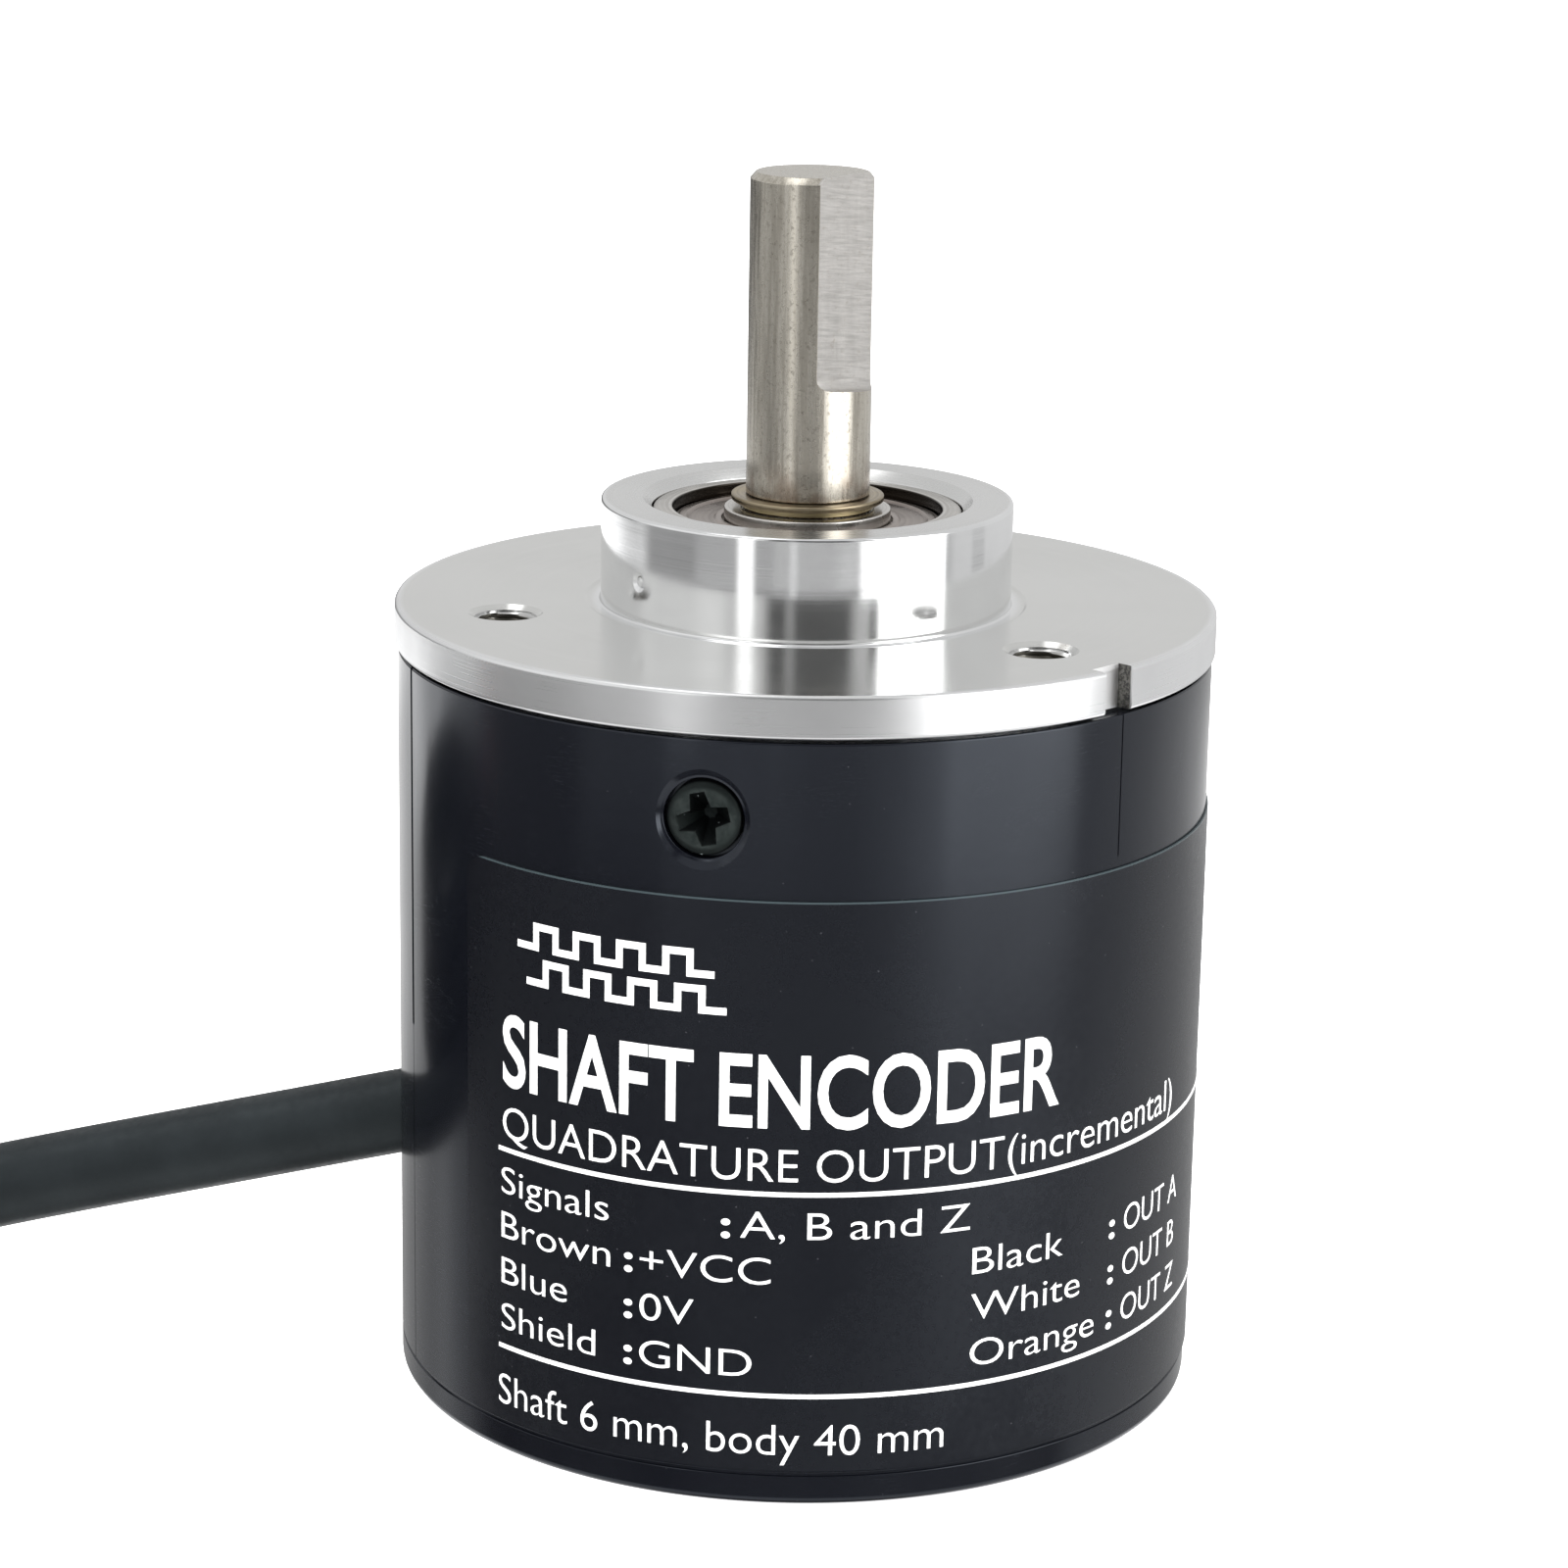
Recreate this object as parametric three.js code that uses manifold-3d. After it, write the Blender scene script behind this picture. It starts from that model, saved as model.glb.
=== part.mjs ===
// Incremental rotary encoder with a 40 mm body and a 6 mm solid shaft, in millimetres.
// +Z runs along the shaft and out of the mounting flange. The origin is the middle of the base.
// Azimuths are in degrees from +X towards +Y. Its cable lies on the surface that it stands on.
import * as THREE from 'three';
import { mergeVertices } from 'three/addons/utils/BufferGeometryUtils.js';
import Module from 'manifold-3d';

const wasm = await Module();
wasm.setup();

const DEG = Math.PI / 180;

// Sides of the round pieces, by how large they are.
const BODY_SIDES = 48;
const SHAFT_SIDES = 32;
const RING_SIDES = 24;
const SMALL_SIDES = 12;

// Flange, pilot boss and the casting below them.
const FLANGE_RADIUS = 20;
const FLANGE_TOP = 39;
const FLANGE_BOTTOM = 36.94;
const BOSS_RADIUS = 10;
const BOSS_TOP = 44;
const BOSS_MOUTH_RADIUS = 8;
const BOSS_MOUTH_CHAMFER = 0.45;
const EDGE = 0.2;
const SPIGOT_RADIUS = 18.4;
const PLATE_BOTTOM = 31;
const TUBE_RADIUS = 9.3;
const TUBE_BOTTOM = 28.6;
const SHOULDER_RADIUS = 6.7;
const SHOULDER_BOTTOM = 36.1;

// Three tapped holes for mounting screws, and the key notch in the rim beside one of them.
const MOUNT_HOLE_RADIUS = 1.6;
const MOUNT_HOLE_DEPTH = 6;
const MOUNT_CIRCLE_RADIUS = 15;
const MOUNT_AZIMUTHS = [-163, -43, 77];
const NOTCH_AZIMUTH = -43.85;
const NOTCH_WIDTH = 1.85;
const NOTCH_DEPTH = 0.85;

// Cover, its radial screws and the label round it.
const COVER_RADIUS = 19.85;
const COVER_WALL = 1.4;
const COVER_TOP = 36.78;
const COVER_FLOOR = 1.8;
const COVER_CHAMFER = 0.4;
const SCREW_AZIMUTHS = [-103, 17, 137];
const SCREW_Z = 33.05;
const SCREW_HEAD_RADIUS = 1.75;
const SCREW_HEAD_SEAT = 19.0;
const SCREW_HEAD_HEIGHT = 0.75;
const SCREW_SHANK_RADIUS = 1;
const SCREW_TIP = 14;
const SCREW_RECESS_RADIUS = 2.2;
const CROSS_REACH = 1.1;
const CROSS_WIDTH = 0.5;
const CROSS_DEPTH = 0.5;
const LABEL_THICKNESS = 0.1;
const LABEL_GAP = 0.02;
const LABEL_BOTTOM = 1.8;
const LABEL_TOP = 29.45;
const LABEL_FROM = -141.2;
const LABEL_TO = 24;

// 696 ball bearings, 6 x 15 x 5, with a shield on both sides.
const BEARING_OUTER_RADIUS = 7.5;
const BEARING_BORE_RADIUS = 3.05;
const BEARING_WIDTH = 5;
const FRONT_BEARING_Z = 41.05;
const REAR_BEARING_Z = 32.7;
const BALL_COUNT = 7;
const BALL_RADIUS = 1.17;
const BALL_CIRCLE_RADIUS = 5.25;
const GROOVE_RADIUS = 1.27;
const INNER_LAND_RADIUS = 4.4;
const OUTER_LAND_RADIUS = 6.1;
const INNER_FACE_RADIUS = 4.05;
const OUTER_FACE_RADIUS = 6.55;
const SHIELD_THICKNESS = 0.25;
const SHIELD_DEPTH = 0.3;
const CAGE = { inner: 4.72, outer: 5.78, bottom: 0.15, top: 1.65, clearance: 0.06 };
const PRELOAD_WASHER = { inner: 6.8, outer: 7.35, bottom: 35.5, top: 35.8, waves: 3, height: 0.18 };

// Shaft and what turns with it.
const SHAFT_RADIUS = 3;
const SHAFT_TOP = 59.75;
const SHAFT_BOTTOM = 22.2;
const FLAT_BOTTOM = 49.5;
const FLAT_DISTANCE = 2;
const FLAT_AZIMUTH = -35.5;
const CLIP_RADIUS = 3.7;
const CLIP_BOTTOM = 43.9;
const CLIP_TOP = 44.2;
const CLIP_GROOVE_RADIUS = 2.72;
const CLIP_GAP = 1.6;
const CLIP_GAP_AZIMUTH = 100;
const SHIM = { outer: 3.65, bottom: 43.6, top: 43.82 };
const SPACER = { outer: 4.2, bottom: 35.3, top: 38.45 };
const HUB_RADIUS = 5;
const HUB_FLANGE_RADIUS = 8;
const HUB_BOTTOM = 24.2;
const HUB_TOP = 30.1;
const SET_SCREW_Z = 27;
const DISC_RADIUS = 14;
const DISC_THICKNESS = 0.5;
const CLAMP_RADIUS = 6.5;
const CLAMP_BOTTOM = 22.9;
// The play between two pieces that meet.
const PLAY = 0.05;

// Circuit board, its three posts, and the optical pickup round the disc's edge.
const BOARD_RADIUS = 18.1;
const BOARD_BOTTOM = 17.4;
const BOARD_TOP = 19;
const POST_RADIUS = 1.8;
const POST_CIRCLE_RADIUS = 16.2;
const BOARD_SCREW = { headRadius: 1.9, headBottom: 16.2, shankRadius: 0.9, top: 22 };
const PICKUP_AZIMUTH = 77;
const PICKUP_CIRCLE_RADIUS = 12.2;
const HOLDER = { arm: 10.2, back: 15, outer: 17.2, armBottom: 26, armTop: 28.2, width: 7, bore: 1.6 };
const LED = { radius: 1.45, bottom: 24.9, top: 27.8 };
const SENSOR_BOX = [[9.6, -3.2, 19.05], [14.5, 3.2, 22]];
const RETICLE_BOX = [[10, -2.8, 22.1], [14.3, 2.8, 22.6]];
const CONNECTOR_BOX = [[-11.5, -5, 13], [-7, 5, 17.35]];

// Cable: it leaves the cover on the -X side, sloping down, and ends in a coil on the surface.
const CABLE_RADIUS = 2.1;
const CABLE_SIDES = 10;
const CABLE_EXIT = [-19.85, 0, 12.17];
const CABLE_SLOPE = 12;
const CABLE_HOLE_RADIUS = 2.3;
const GROMMET = { bore: 2.25, outer: 3.5, from: -4, to: -2.5 };
const INNER_LEADS_RADIUS = 1.2;
const INNER_LEADS_ROUTE = [[-12.1, 0, 14.3], [-13, 0, 13.9], [-14, 0, 13.5]];
const CABLE_ROUTE = [
  [-14.5, 0, 13.31], [-18, 0, 12.56], [-21.5, 0, 11.82], [-25, 0, 11.07], [-29, 0, 10.22],
  [-33, 0, 9.37], [-37, 0, 8.5], [-41, 0, 7.58], [-45, -0.1, 6.55], [-49, -0.4, 5.4],
  [-53, -1, 4.25], [-57, -1.8, 3.3], [-61, -2.8, 2.7], [-65, -3.8, 2.42], [-69, -4.8, 2.35],
  [-73, -5.6, 2.35], [-77, -6, 2.35],
];
const CABLE_SOLID_POINTS = 12;
const COIL_RADIUS = 23.1;
const COIL_TURNS = 3;
const COIL_BOTTOM = 0.3;
const COIL_CENTRE = [-77, 17.1];
const TIE_AZIMUTH = 90;
const TIE_WIDTH = 2.6;
const TIE_REACH = 2.9;
const TIE_BORE_REACH = 2.35;
const TIE_TOP = 0.4;

// The stripped leads: colour, length, angle in the bundle, and how far each ends to the side of
// the coil's crown and below it.
const LEAD_RADIUS = 0.52;
const LEAD_BUNDLE_RADIUS = 1.3;
const LEADS = {
  lead_brown: { color: 0x6b3b1f, length: 25, bundled: 180, sideways: -3.5, drop: 1 },
  lead_blue: { color: 0x1f4fa8, length: 23.5, bundled: 120, sideways: -2, drop: 0 },
  lead_black: { color: 0x17181a, length: 26, bundled: 240, sideways: -0.67, drop: 0 },
  lead_white: { color: 0xe6e6e2, length: 22.5, bundled: 300, sideways: 0.67, drop: 0 },
  lead_orange: { color: 0xe2711d, length: 24.5, bundled: 60, sideways: 2, drop: 0 },
  lead_shield: { color: 0xa9a9a6, length: 21, bundled: 0, sideways: 3.5, drop: 1 },
};

const MATERIALS = {
  castAluminium: [0xc8c8c3, 0.35, 0.9],
  coverPlastic: [0x14161f, 0.4, 0],
  labelFilm: [0x17181f, 0.3, 0],
  blackScrew: [0x1a1a1c, 0.4, 0.6],
  bearingSteel: [0x8f8c86, 0.25, 1],
  shieldSteel: [0x7a706a, 0.4, 1],
  shaftSteel: [0xa59e95, 0.25, 1],
  springSteel: [0x8a7a5e, 0.35, 1],
  brass: [0xb39a5b, 0.35, 1],
  glass: [0xbfd0d4, 0.1, 0],
  board: [0x1d5a36, 0.5, 0],
  chipPlastic: [0x202124, 0.5, 0],
  ledPlastic: [0x8fb0c8, 0.2, 0],
  connectorNylon: [0xe4e2d8, 0.5, 0],
  rubber: [0x1b1c1f, 0.8, 0],
  cableJacket: [0x1c1d22, 0.55, 0],
};

const encoder = new THREE.Group();

// A geometry as one closed body: seams merged, empty triangles dropped, faces turned outwards.
function closed(geometry) {
  geometry.deleteAttribute('normal');
  geometry.deleteAttribute('uv');
  const merged = mergeVertices(geometry, 1e-4);
  const position = merged.attributes.position;
  const corners = [0, 1, 2].map(() => new THREE.Vector3());
  let volume = 0;
  const index = [];
  for (let i = 0; i < merged.index.count; i += 3) {
    const triangle = [0, 1, 2].map((k) => merged.index.getX(i + k));
    if (new Set(triangle).size < 3) continue;
    triangle.forEach((vertex, k) => corners[k].fromBufferAttribute(position, vertex));
    volume += corners[0].dot(corners[1].clone().cross(corners[2]));
    index.push(triangle);
  }
  if (volume < 0) index.forEach((triangle) => triangle.reverse());
  merged.setIndex(index.flat());
  return merged;
}

function toSolid(geometry) {
  return new wasm.Manifold(new wasm.Mesh({
    numProp: 3,
    vertProperties: new Float32Array(geometry.attributes.position.array),
    triVerts: new Uint32Array(geometry.index.array),
  }));
}

function toGeometry(solid) {
  const { vertProperties, triVerts } = solid.getMesh();
  const geometry = new THREE.BufferGeometry();
  geometry.setAttribute('position', new THREE.BufferAttribute(vertProperties, 3));
  geometry.setIndex(new THREE.BufferAttribute(triVerts, 1));
  return geometry;
}

// The base with every one of joined added and every one of cut taken away.
function combine(base, { joined = [], cut = [] }) {
  let solid = toSolid(base);
  for (const piece of joined) solid = solid.add(toSolid(piece));
  for (const piece of cut) solid = solid.subtract(toSolid(piece));
  return toGeometry(solid);
}

// A profile of [radius, z] turned about Z. It starts and ends on the axis.
function turned(profile, sides) {
  const points = profile.map(([radius, z]) => new THREE.Vector2(radius, z));
  return closed(new THREE.LatheGeometry(points, sides).rotateX(Math.PI / 2));
}

// A hollow piece: its profile is a loop that stays off the axis.
function turnedRing(profile, sides) {
  return turned([...profile, profile[0]], sides);
}

function washer(inner, outer, bottom, top, sides) {
  return turnedRing([[inner, bottom], [outer, bottom], [outer, top], [inner, top]], sides);
}

function rod(radius, bottom, top, sides) {
  return turned([[0, bottom], [radius, bottom], [radius, top], [0, top]], sides);
}

// A rod along +X from one distance to another, for screws and holes that point at the axis.
function crossRod(radius, from, to, z, sides = SMALL_SIDES) {
  return rod(radius, from, to, sides).rotateY(Math.PI / 2).translate(0, 0, z);
}

function box(low, high) {
  const size = high.map((value, axis) => value - low[axis]);
  const centre = high.map((value, axis) => (value + low[axis]) / 2);
  return closed(new THREE.BoxGeometry(...size).translate(...centre));
}

function turnedTo(geometry, azimuth) {
  return geometry.rotateZ(azimuth * DEG);
}

// A flat outline of [distance, z] points, given a width across, standing at azimuth 0.
function bracket(outline, width) {
  const shape = new THREE.Shape(outline.map(([x, z]) => new THREE.Vector2(x, z)));
  const geometry = new THREE.ExtrudeGeometry(shape, { depth: width, bevelEnabled: false });
  return closed(geometry.translate(0, 0, -width / 2).rotateX(Math.PI / 2));
}

function tubeAlong(points, radius, sides, steps) {
  const path = new THREE.CatmullRomCurve3(points.map((point) => new THREE.Vector3(...point)));
  const section = new THREE.Shape();
  for (let i = 0; i < sides; i += 1) {
    const angle = (i / sides) * 2 * Math.PI;
    const corner = [radius * Math.cos(angle), radius * Math.sin(angle)];
    if (i === 0) section.moveTo(...corner);
    else section.lineTo(...corner);
  }
  return closed(new THREE.ExtrudeGeometry(section, { steps, extrudePath: path }));
}

function addMesh(parent, name, geometry, materialName) {
  const [color, roughness, metalness] = MATERIALS[materialName];
  const material = new THREE.MeshStandardMaterial({ color, roughness, metalness });
  const mesh = new THREE.Mesh(geometry, material);
  mesh.name = name;
  parent.add(mesh);
  return mesh;
}

function addGroup(parent, [x, y, z], azimuth = 0) {
  const group = new THREE.Group();
  group.position.set(x, y, z);
  group.rotation.z = azimuth * DEG;
  parent.add(group);
  return group;
}

function flangeHousing() {
  const bore = BEARING_OUTER_RADIUS + PLAY;
  const frontSeat = FRONT_BEARING_Z - BEARING_WIDTH / 2 - PLAY;
  const body = turnedRing([
    [bore, frontSeat], [bore, BOSS_TOP - BOSS_MOUTH_CHAMFER], [BOSS_MOUTH_RADIUS, BOSS_TOP],
    [BOSS_RADIUS - EDGE, BOSS_TOP], [BOSS_RADIUS, BOSS_TOP - EDGE], [BOSS_RADIUS, FLANGE_TOP],
    [FLANGE_RADIUS - EDGE, FLANGE_TOP], [FLANGE_RADIUS, FLANGE_TOP - EDGE],
    [FLANGE_RADIUS, FLANGE_BOTTOM + EDGE], [FLANGE_RADIUS - EDGE, FLANGE_BOTTOM],
    [SPIGOT_RADIUS, FLANGE_BOTTOM], [SPIGOT_RADIUS, PLATE_BOTTOM], [TUBE_RADIUS, PLATE_BOTTOM],
    [TUBE_RADIUS, TUBE_BOTTOM], [bore, TUBE_BOTTOM], [bore, SHOULDER_BOTTOM],
    [SHOULDER_RADIUS, SHOULDER_BOTTOM], [SHOULDER_RADIUS, frontSeat],
  ], BODY_SIDES);
  const posts = SCREW_AZIMUTHS.map((azimuth) => turnedTo(
    rod(POST_RADIUS, BOARD_TOP + PLAY, PLATE_BOTTOM + 1, SMALL_SIDES)
      .translate(POST_CIRCLE_RADIUS, 0, 0), azimuth));
  const postHoles = SCREW_AZIMUTHS.map((azimuth) => turnedTo(
    rod(SCREW_SHANK_RADIUS + 0.1, BOARD_TOP - 1, BOARD_TOP + 4, SMALL_SIDES)
      .translate(POST_CIRCLE_RADIUS, 0, 0), azimuth));
  const mountHoles = MOUNT_AZIMUTHS.map((azimuth) => turnedTo(
    rod(MOUNT_HOLE_RADIUS, FLANGE_TOP - MOUNT_HOLE_DEPTH, FLANGE_TOP + 1, SMALL_SIDES)
      .translate(MOUNT_CIRCLE_RADIUS, 0, 0), azimuth));
  const screwHoles = SCREW_AZIMUTHS.map((azimuth) => turnedTo(
    crossRod(SCREW_SHANK_RADIUS + 0.15, SCREW_TIP - 0.5, FLANGE_RADIUS, SCREW_Z), azimuth));
  const notch = turnedTo(box(
    [FLANGE_RADIUS - NOTCH_DEPTH, -NOTCH_WIDTH / 2, FLANGE_BOTTOM - 1],
    [FLANGE_RADIUS + 1, NOTCH_WIDTH / 2, FLANGE_TOP + 1]), NOTCH_AZIMUTH);
  return combine(body, { joined: posts, cut: [...postHoles, ...mountHoles, ...screwHoles, notch] });
}

// A rod along the cable's exit direction, from one distance past the cover's face to another.
function exitRod(profile, sides) {
  return turnedRing(profile, sides)
    .rotateY((-90 - CABLE_SLOPE) * DEG)
    .translate(...CABLE_EXIT);
}

function rearCover() {
  const inner = COVER_RADIUS - COVER_WALL;
  const cup = turned([
    [0, 0], [COVER_RADIUS - COVER_CHAMFER, 0], [COVER_RADIUS, COVER_CHAMFER],
    [COVER_RADIUS, COVER_TOP],
    [inner, COVER_TOP], [inner, COVER_FLOOR], [0, COVER_FLOOR],
  ], BODY_SIDES);
  const recesses = SCREW_AZIMUTHS.flatMap((azimuth) => [
    turnedTo(crossRod(SCREW_RECESS_RADIUS, SCREW_HEAD_SEAT - PLAY, FLANGE_RADIUS, SCREW_Z), azimuth),
    turnedTo(crossRod(SCREW_SHANK_RADIUS + 0.15, inner - 1, FLANGE_RADIUS, SCREW_Z), azimuth),
  ]);
  const cableHole = exitRod([[0, -4], [CABLE_HOLE_RADIUS, -4], [CABLE_HOLE_RADIUS, 3], [0, 3]],
    RING_SIDES);
  return combine(cup, { cut: [...recesses, cableHole] });
}

function coverScrew() {
  const headTop = SCREW_HEAD_SEAT + SCREW_HEAD_HEIGHT;
  const body = turned([
    [0, SCREW_TIP], [SCREW_SHANK_RADIUS, SCREW_TIP], [SCREW_SHANK_RADIUS, SCREW_HEAD_SEAT],
    [SCREW_HEAD_RADIUS, SCREW_HEAD_SEAT], [SCREW_HEAD_RADIUS, headTop - EDGE],
    [SCREW_HEAD_RADIUS - EDGE, headTop], [0, headTop],
  ], SMALL_SIDES).rotateY(Math.PI / 2);
  const arm = CROSS_WIDTH / 2;
  const slots = [[CROSS_REACH, arm], [arm, CROSS_REACH]].map(([wide, high]) => box(
    [headTop - CROSS_DEPTH, -wide, -high], [headTop + 1, wide, high]));
  return combine(body, { cut: slots });
}

// The label's outline is an arc seen along Z, which is then given the label's height.
function nameLabel() {
  const inner = COVER_RADIUS + 2 * LABEL_GAP;
  const outer = COVER_RADIUS + LABEL_GAP + LABEL_THICKNESS;
  const shape = new THREE.Shape();
  shape.absarc(0, 0, outer, LABEL_FROM * DEG, LABEL_TO * DEG, false);
  shape.absarc(0, 0, inner, LABEL_TO * DEG, LABEL_FROM * DEG, true);
  const height = LABEL_TOP - LABEL_BOTTOM;
  const sheet = new THREE.ExtrudeGeometry(shape, {
    depth: height, bevelEnabled: false, curveSegments: 28,
  });
  return closed(sheet.translate(0, 0, LABEL_BOTTOM));
}

// Points of the ball groove in a ring's land, from one edge of it to the other.
function groove(landRadius, side) {
  const reach = Math.abs(landRadius - BALL_CIRCLE_RADIUS);
  const edge = Math.sqrt(GROOVE_RADIUS ** 2 - reach ** 2);
  const arc = [-30, 0, 30].map((angle) => [
    BALL_CIRCLE_RADIUS + side * GROOVE_RADIUS * Math.cos(angle * DEG),
    GROOVE_RADIUS * Math.sin(angle * DEG),
  ]);
  return [[landRadius, -edge], ...arc, [landRadius, edge]];
}

function bearingRing(backRadius, faceRadius, landRadius, side) {
  const half = BEARING_WIDTH / 2;
  const step = half - SHIELD_DEPTH - SHIELD_THICKNESS - 0.25;
  return turnedRing([
    [backRadius, -half], [faceRadius, -half], [faceRadius, -step],
    ...groove(landRadius, side),
    [faceRadius, step], [faceRadius, half], [backRadius, half],
  ], RING_SIDES);
}

function ball(radius) {
  return closed(new THREE.SphereGeometry(radius, 10, 6));
}

// Crown cage: a ring above the balls, with a pocket for each of them.
function ballCage() {
  const crown = washer(CAGE.inner, CAGE.outer, CAGE.bottom, CAGE.top, RING_SIDES);
  const pockets = Array.from({ length: BALL_COUNT }, (_, i) => turnedTo(
    ball(BALL_RADIUS + CAGE.clearance).translate(BALL_CIRCLE_RADIUS, 0, 0), (i * 360) / BALL_COUNT));
  return combine(crown, { cut: pockets });
}

function addBearing(name, z) {
  const bearing = addGroup(encoder, [0, 0, z]);
  addMesh(bearing, `${name}_outer_ring`,
    bearingRing(BEARING_OUTER_RADIUS, OUTER_FACE_RADIUS, OUTER_LAND_RADIUS, 1), 'bearingSteel');
  addMesh(bearing, `${name}_inner_ring`,
    bearingRing(BEARING_BORE_RADIUS, INNER_FACE_RADIUS, INNER_LAND_RADIUS, -1), 'bearingSteel');
  addMesh(bearing, `${name}_cage`, ballCage(), 'brass');
  for (let i = 0; i < BALL_COUNT; i += 1) {
    const place = addGroup(bearing, [0, 0, 0], (i * 360) / BALL_COUNT);
    addMesh(place, `${name}_ball_${i + 1}`, ball(BALL_RADIUS), 'bearingSteel')
      .position.x = BALL_CIRCLE_RADIUS;
  }
  const shieldTop = BEARING_WIDTH / 2 - SHIELD_DEPTH;
  for (const [side, top] of [['front', shieldTop], ['rear', SHIELD_THICKNESS - shieldTop]]) {
    addMesh(bearing, `${name}_${side}_shield`,
      washer(INNER_FACE_RADIUS + 0.1, OUTER_FACE_RADIUS - 0.1, top - SHIELD_THICKNESS, top,
        RING_SIDES), 'shieldSteel');
  }
}

// A spring washer with three waves, between the rear outer ring and the bore's shoulder.
function waveWasher() {
  const { inner, outer, bottom, top, waves, height } = PRELOAD_WASHER;
  const wave = washer(inner, outer, bottom, top, RING_SIDES);
  const position = wave.attributes.position;
  for (let i = 0; i < position.count; i += 1) {
    const azimuth = Math.atan2(position.getY(i), position.getX(i));
    position.setZ(i, position.getZ(i) + height * Math.cos(waves * azimuth));
  }
  return wave;
}

function shaft() {
  const body = turned([
    [0, SHAFT_BOTTOM], [SHAFT_RADIUS - EDGE, SHAFT_BOTTOM], [SHAFT_RADIUS, SHAFT_BOTTOM + EDGE],
    [SHAFT_RADIUS, CLIP_BOTTOM - PLAY], [CLIP_GROOVE_RADIUS, CLIP_BOTTOM - PLAY],
    [CLIP_GROOVE_RADIUS, CLIP_TOP + PLAY], [SHAFT_RADIUS, CLIP_TOP + PLAY],
    [SHAFT_RADIUS, SHAFT_TOP - EDGE], [SHAFT_RADIUS - EDGE, SHAFT_TOP], [0, SHAFT_TOP],
  ], SHAFT_SIDES);
  const flat = turnedTo(box(
    [FLAT_DISTANCE, -SHAFT_RADIUS - 1, FLAT_BOTTOM],
    [SHAFT_RADIUS + 1, SHAFT_RADIUS + 1, SHAFT_TOP + 1]), FLAT_AZIMUTH);
  return combine(body, { cut: [flat] });
}

function retainingClip() {
  const clip = washer(CLIP_GROOVE_RADIUS + 0.08, CLIP_RADIUS, CLIP_BOTTOM, CLIP_TOP, RING_SIDES);
  const gap = turnedTo(box([0, -CLIP_GAP / 2, CLIP_BOTTOM - 1],
    [CLIP_RADIUS + 1, CLIP_GAP / 2, CLIP_TOP + 1]), CLIP_GAP_AZIMUTH);
  return combine(clip, { cut: [gap] });
}

function discHub() {
  const hub = turnedRing([
    [BEARING_BORE_RADIUS, HUB_BOTTOM], [HUB_FLANGE_RADIUS, HUB_BOTTOM],
    [HUB_FLANGE_RADIUS, HUB_BOTTOM + 1], [HUB_RADIUS, HUB_BOTTOM + 1],
    [HUB_RADIUS, HUB_TOP], [BEARING_BORE_RADIUS, HUB_TOP],
  ], RING_SIDES);
  return combine(hub, { cut: [crossRod(0.95, 2, HUB_RADIUS + 1, SET_SCREW_Z)] });
}

function addShaftAssembly() {
  addMesh(encoder, 'shaft', shaft(), 'shaftSteel');
  addMesh(encoder, 'retaining_clip', retainingClip(), 'springSteel');
  const bore = SHAFT_RADIUS + PLAY;
  addMesh(encoder, 'shim_washer',
    washer(bore, SHIM.outer, SHIM.bottom, SHIM.top, RING_SIDES), 'brass');
  addMesh(encoder, 'bearing_spacer',
    washer(bore, SPACER.outer, SPACER.bottom, SPACER.top, RING_SIDES), 'shaftSteel');
  addMesh(encoder, 'disc_hub', discHub(), 'castAluminium');
  addMesh(encoder, 'hub_set_screw', crossRod(0.82, 3.15, 4.85, SET_SCREW_Z), 'blackScrew');
  const discTop = HUB_BOTTOM - PLAY;
  const discBottom = discTop - DISC_THICKNESS;
  addMesh(encoder, 'code_disc', washer(bore, DISC_RADIUS, discBottom, discTop, BODY_SIDES), 'glass');
  addMesh(encoder, 'disc_clamp',
    washer(bore, CLAMP_RADIUS, CLAMP_BOTTOM, discBottom - PLAY, RING_SIDES), 'brass');
}

function addHousing() {
  addMesh(encoder, 'flange_housing', flangeHousing(), 'castAluminium');
  addMesh(encoder, 'rear_cover', rearCover(), 'coverPlastic');
  addMesh(encoder, 'name_label', nameLabel(), 'labelFilm');
  addMesh(encoder, 'preload_washer', waveWasher(), 'springSteel');
  SCREW_AZIMUTHS.forEach((azimuth, i) => {
    const place = addGroup(encoder, [0, 0, SCREW_Z], azimuth);
    addMesh(place, `cover_screw_${i + 1}`, coverScrew(), 'blackScrew');
  });
}

function circuitBoard() {
  const disc = rod(BOARD_RADIUS, BOARD_BOTTOM, BOARD_TOP, BODY_SIDES);
  const holes = SCREW_AZIMUTHS.map((azimuth) => turnedTo(
    rod(SCREW_SHANK_RADIUS + 0.1, BOARD_BOTTOM - 1, BOARD_TOP + 1, SMALL_SIDES)
      .translate(POST_CIRCLE_RADIUS, 0, 0), azimuth));
  return combine(disc, { cut: holes });
}

function ledHolder() {
  const foot = BOARD_TOP + PLAY;
  const { arm, back, outer, armBottom, armTop } = HOLDER;
  const body = bracket([
    [back, foot], [outer, foot], [outer, armTop], [arm, armTop], [arm, armBottom], [back, armBottom],
  ], HOLDER.width);
  const bore = rod(HOLDER.bore, armBottom - 1, armTop + 1, SMALL_SIDES)
    .translate(PICKUP_CIRCLE_RADIUS, 0, 0);
  return combine(body, { cut: [bore] });
}

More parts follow.
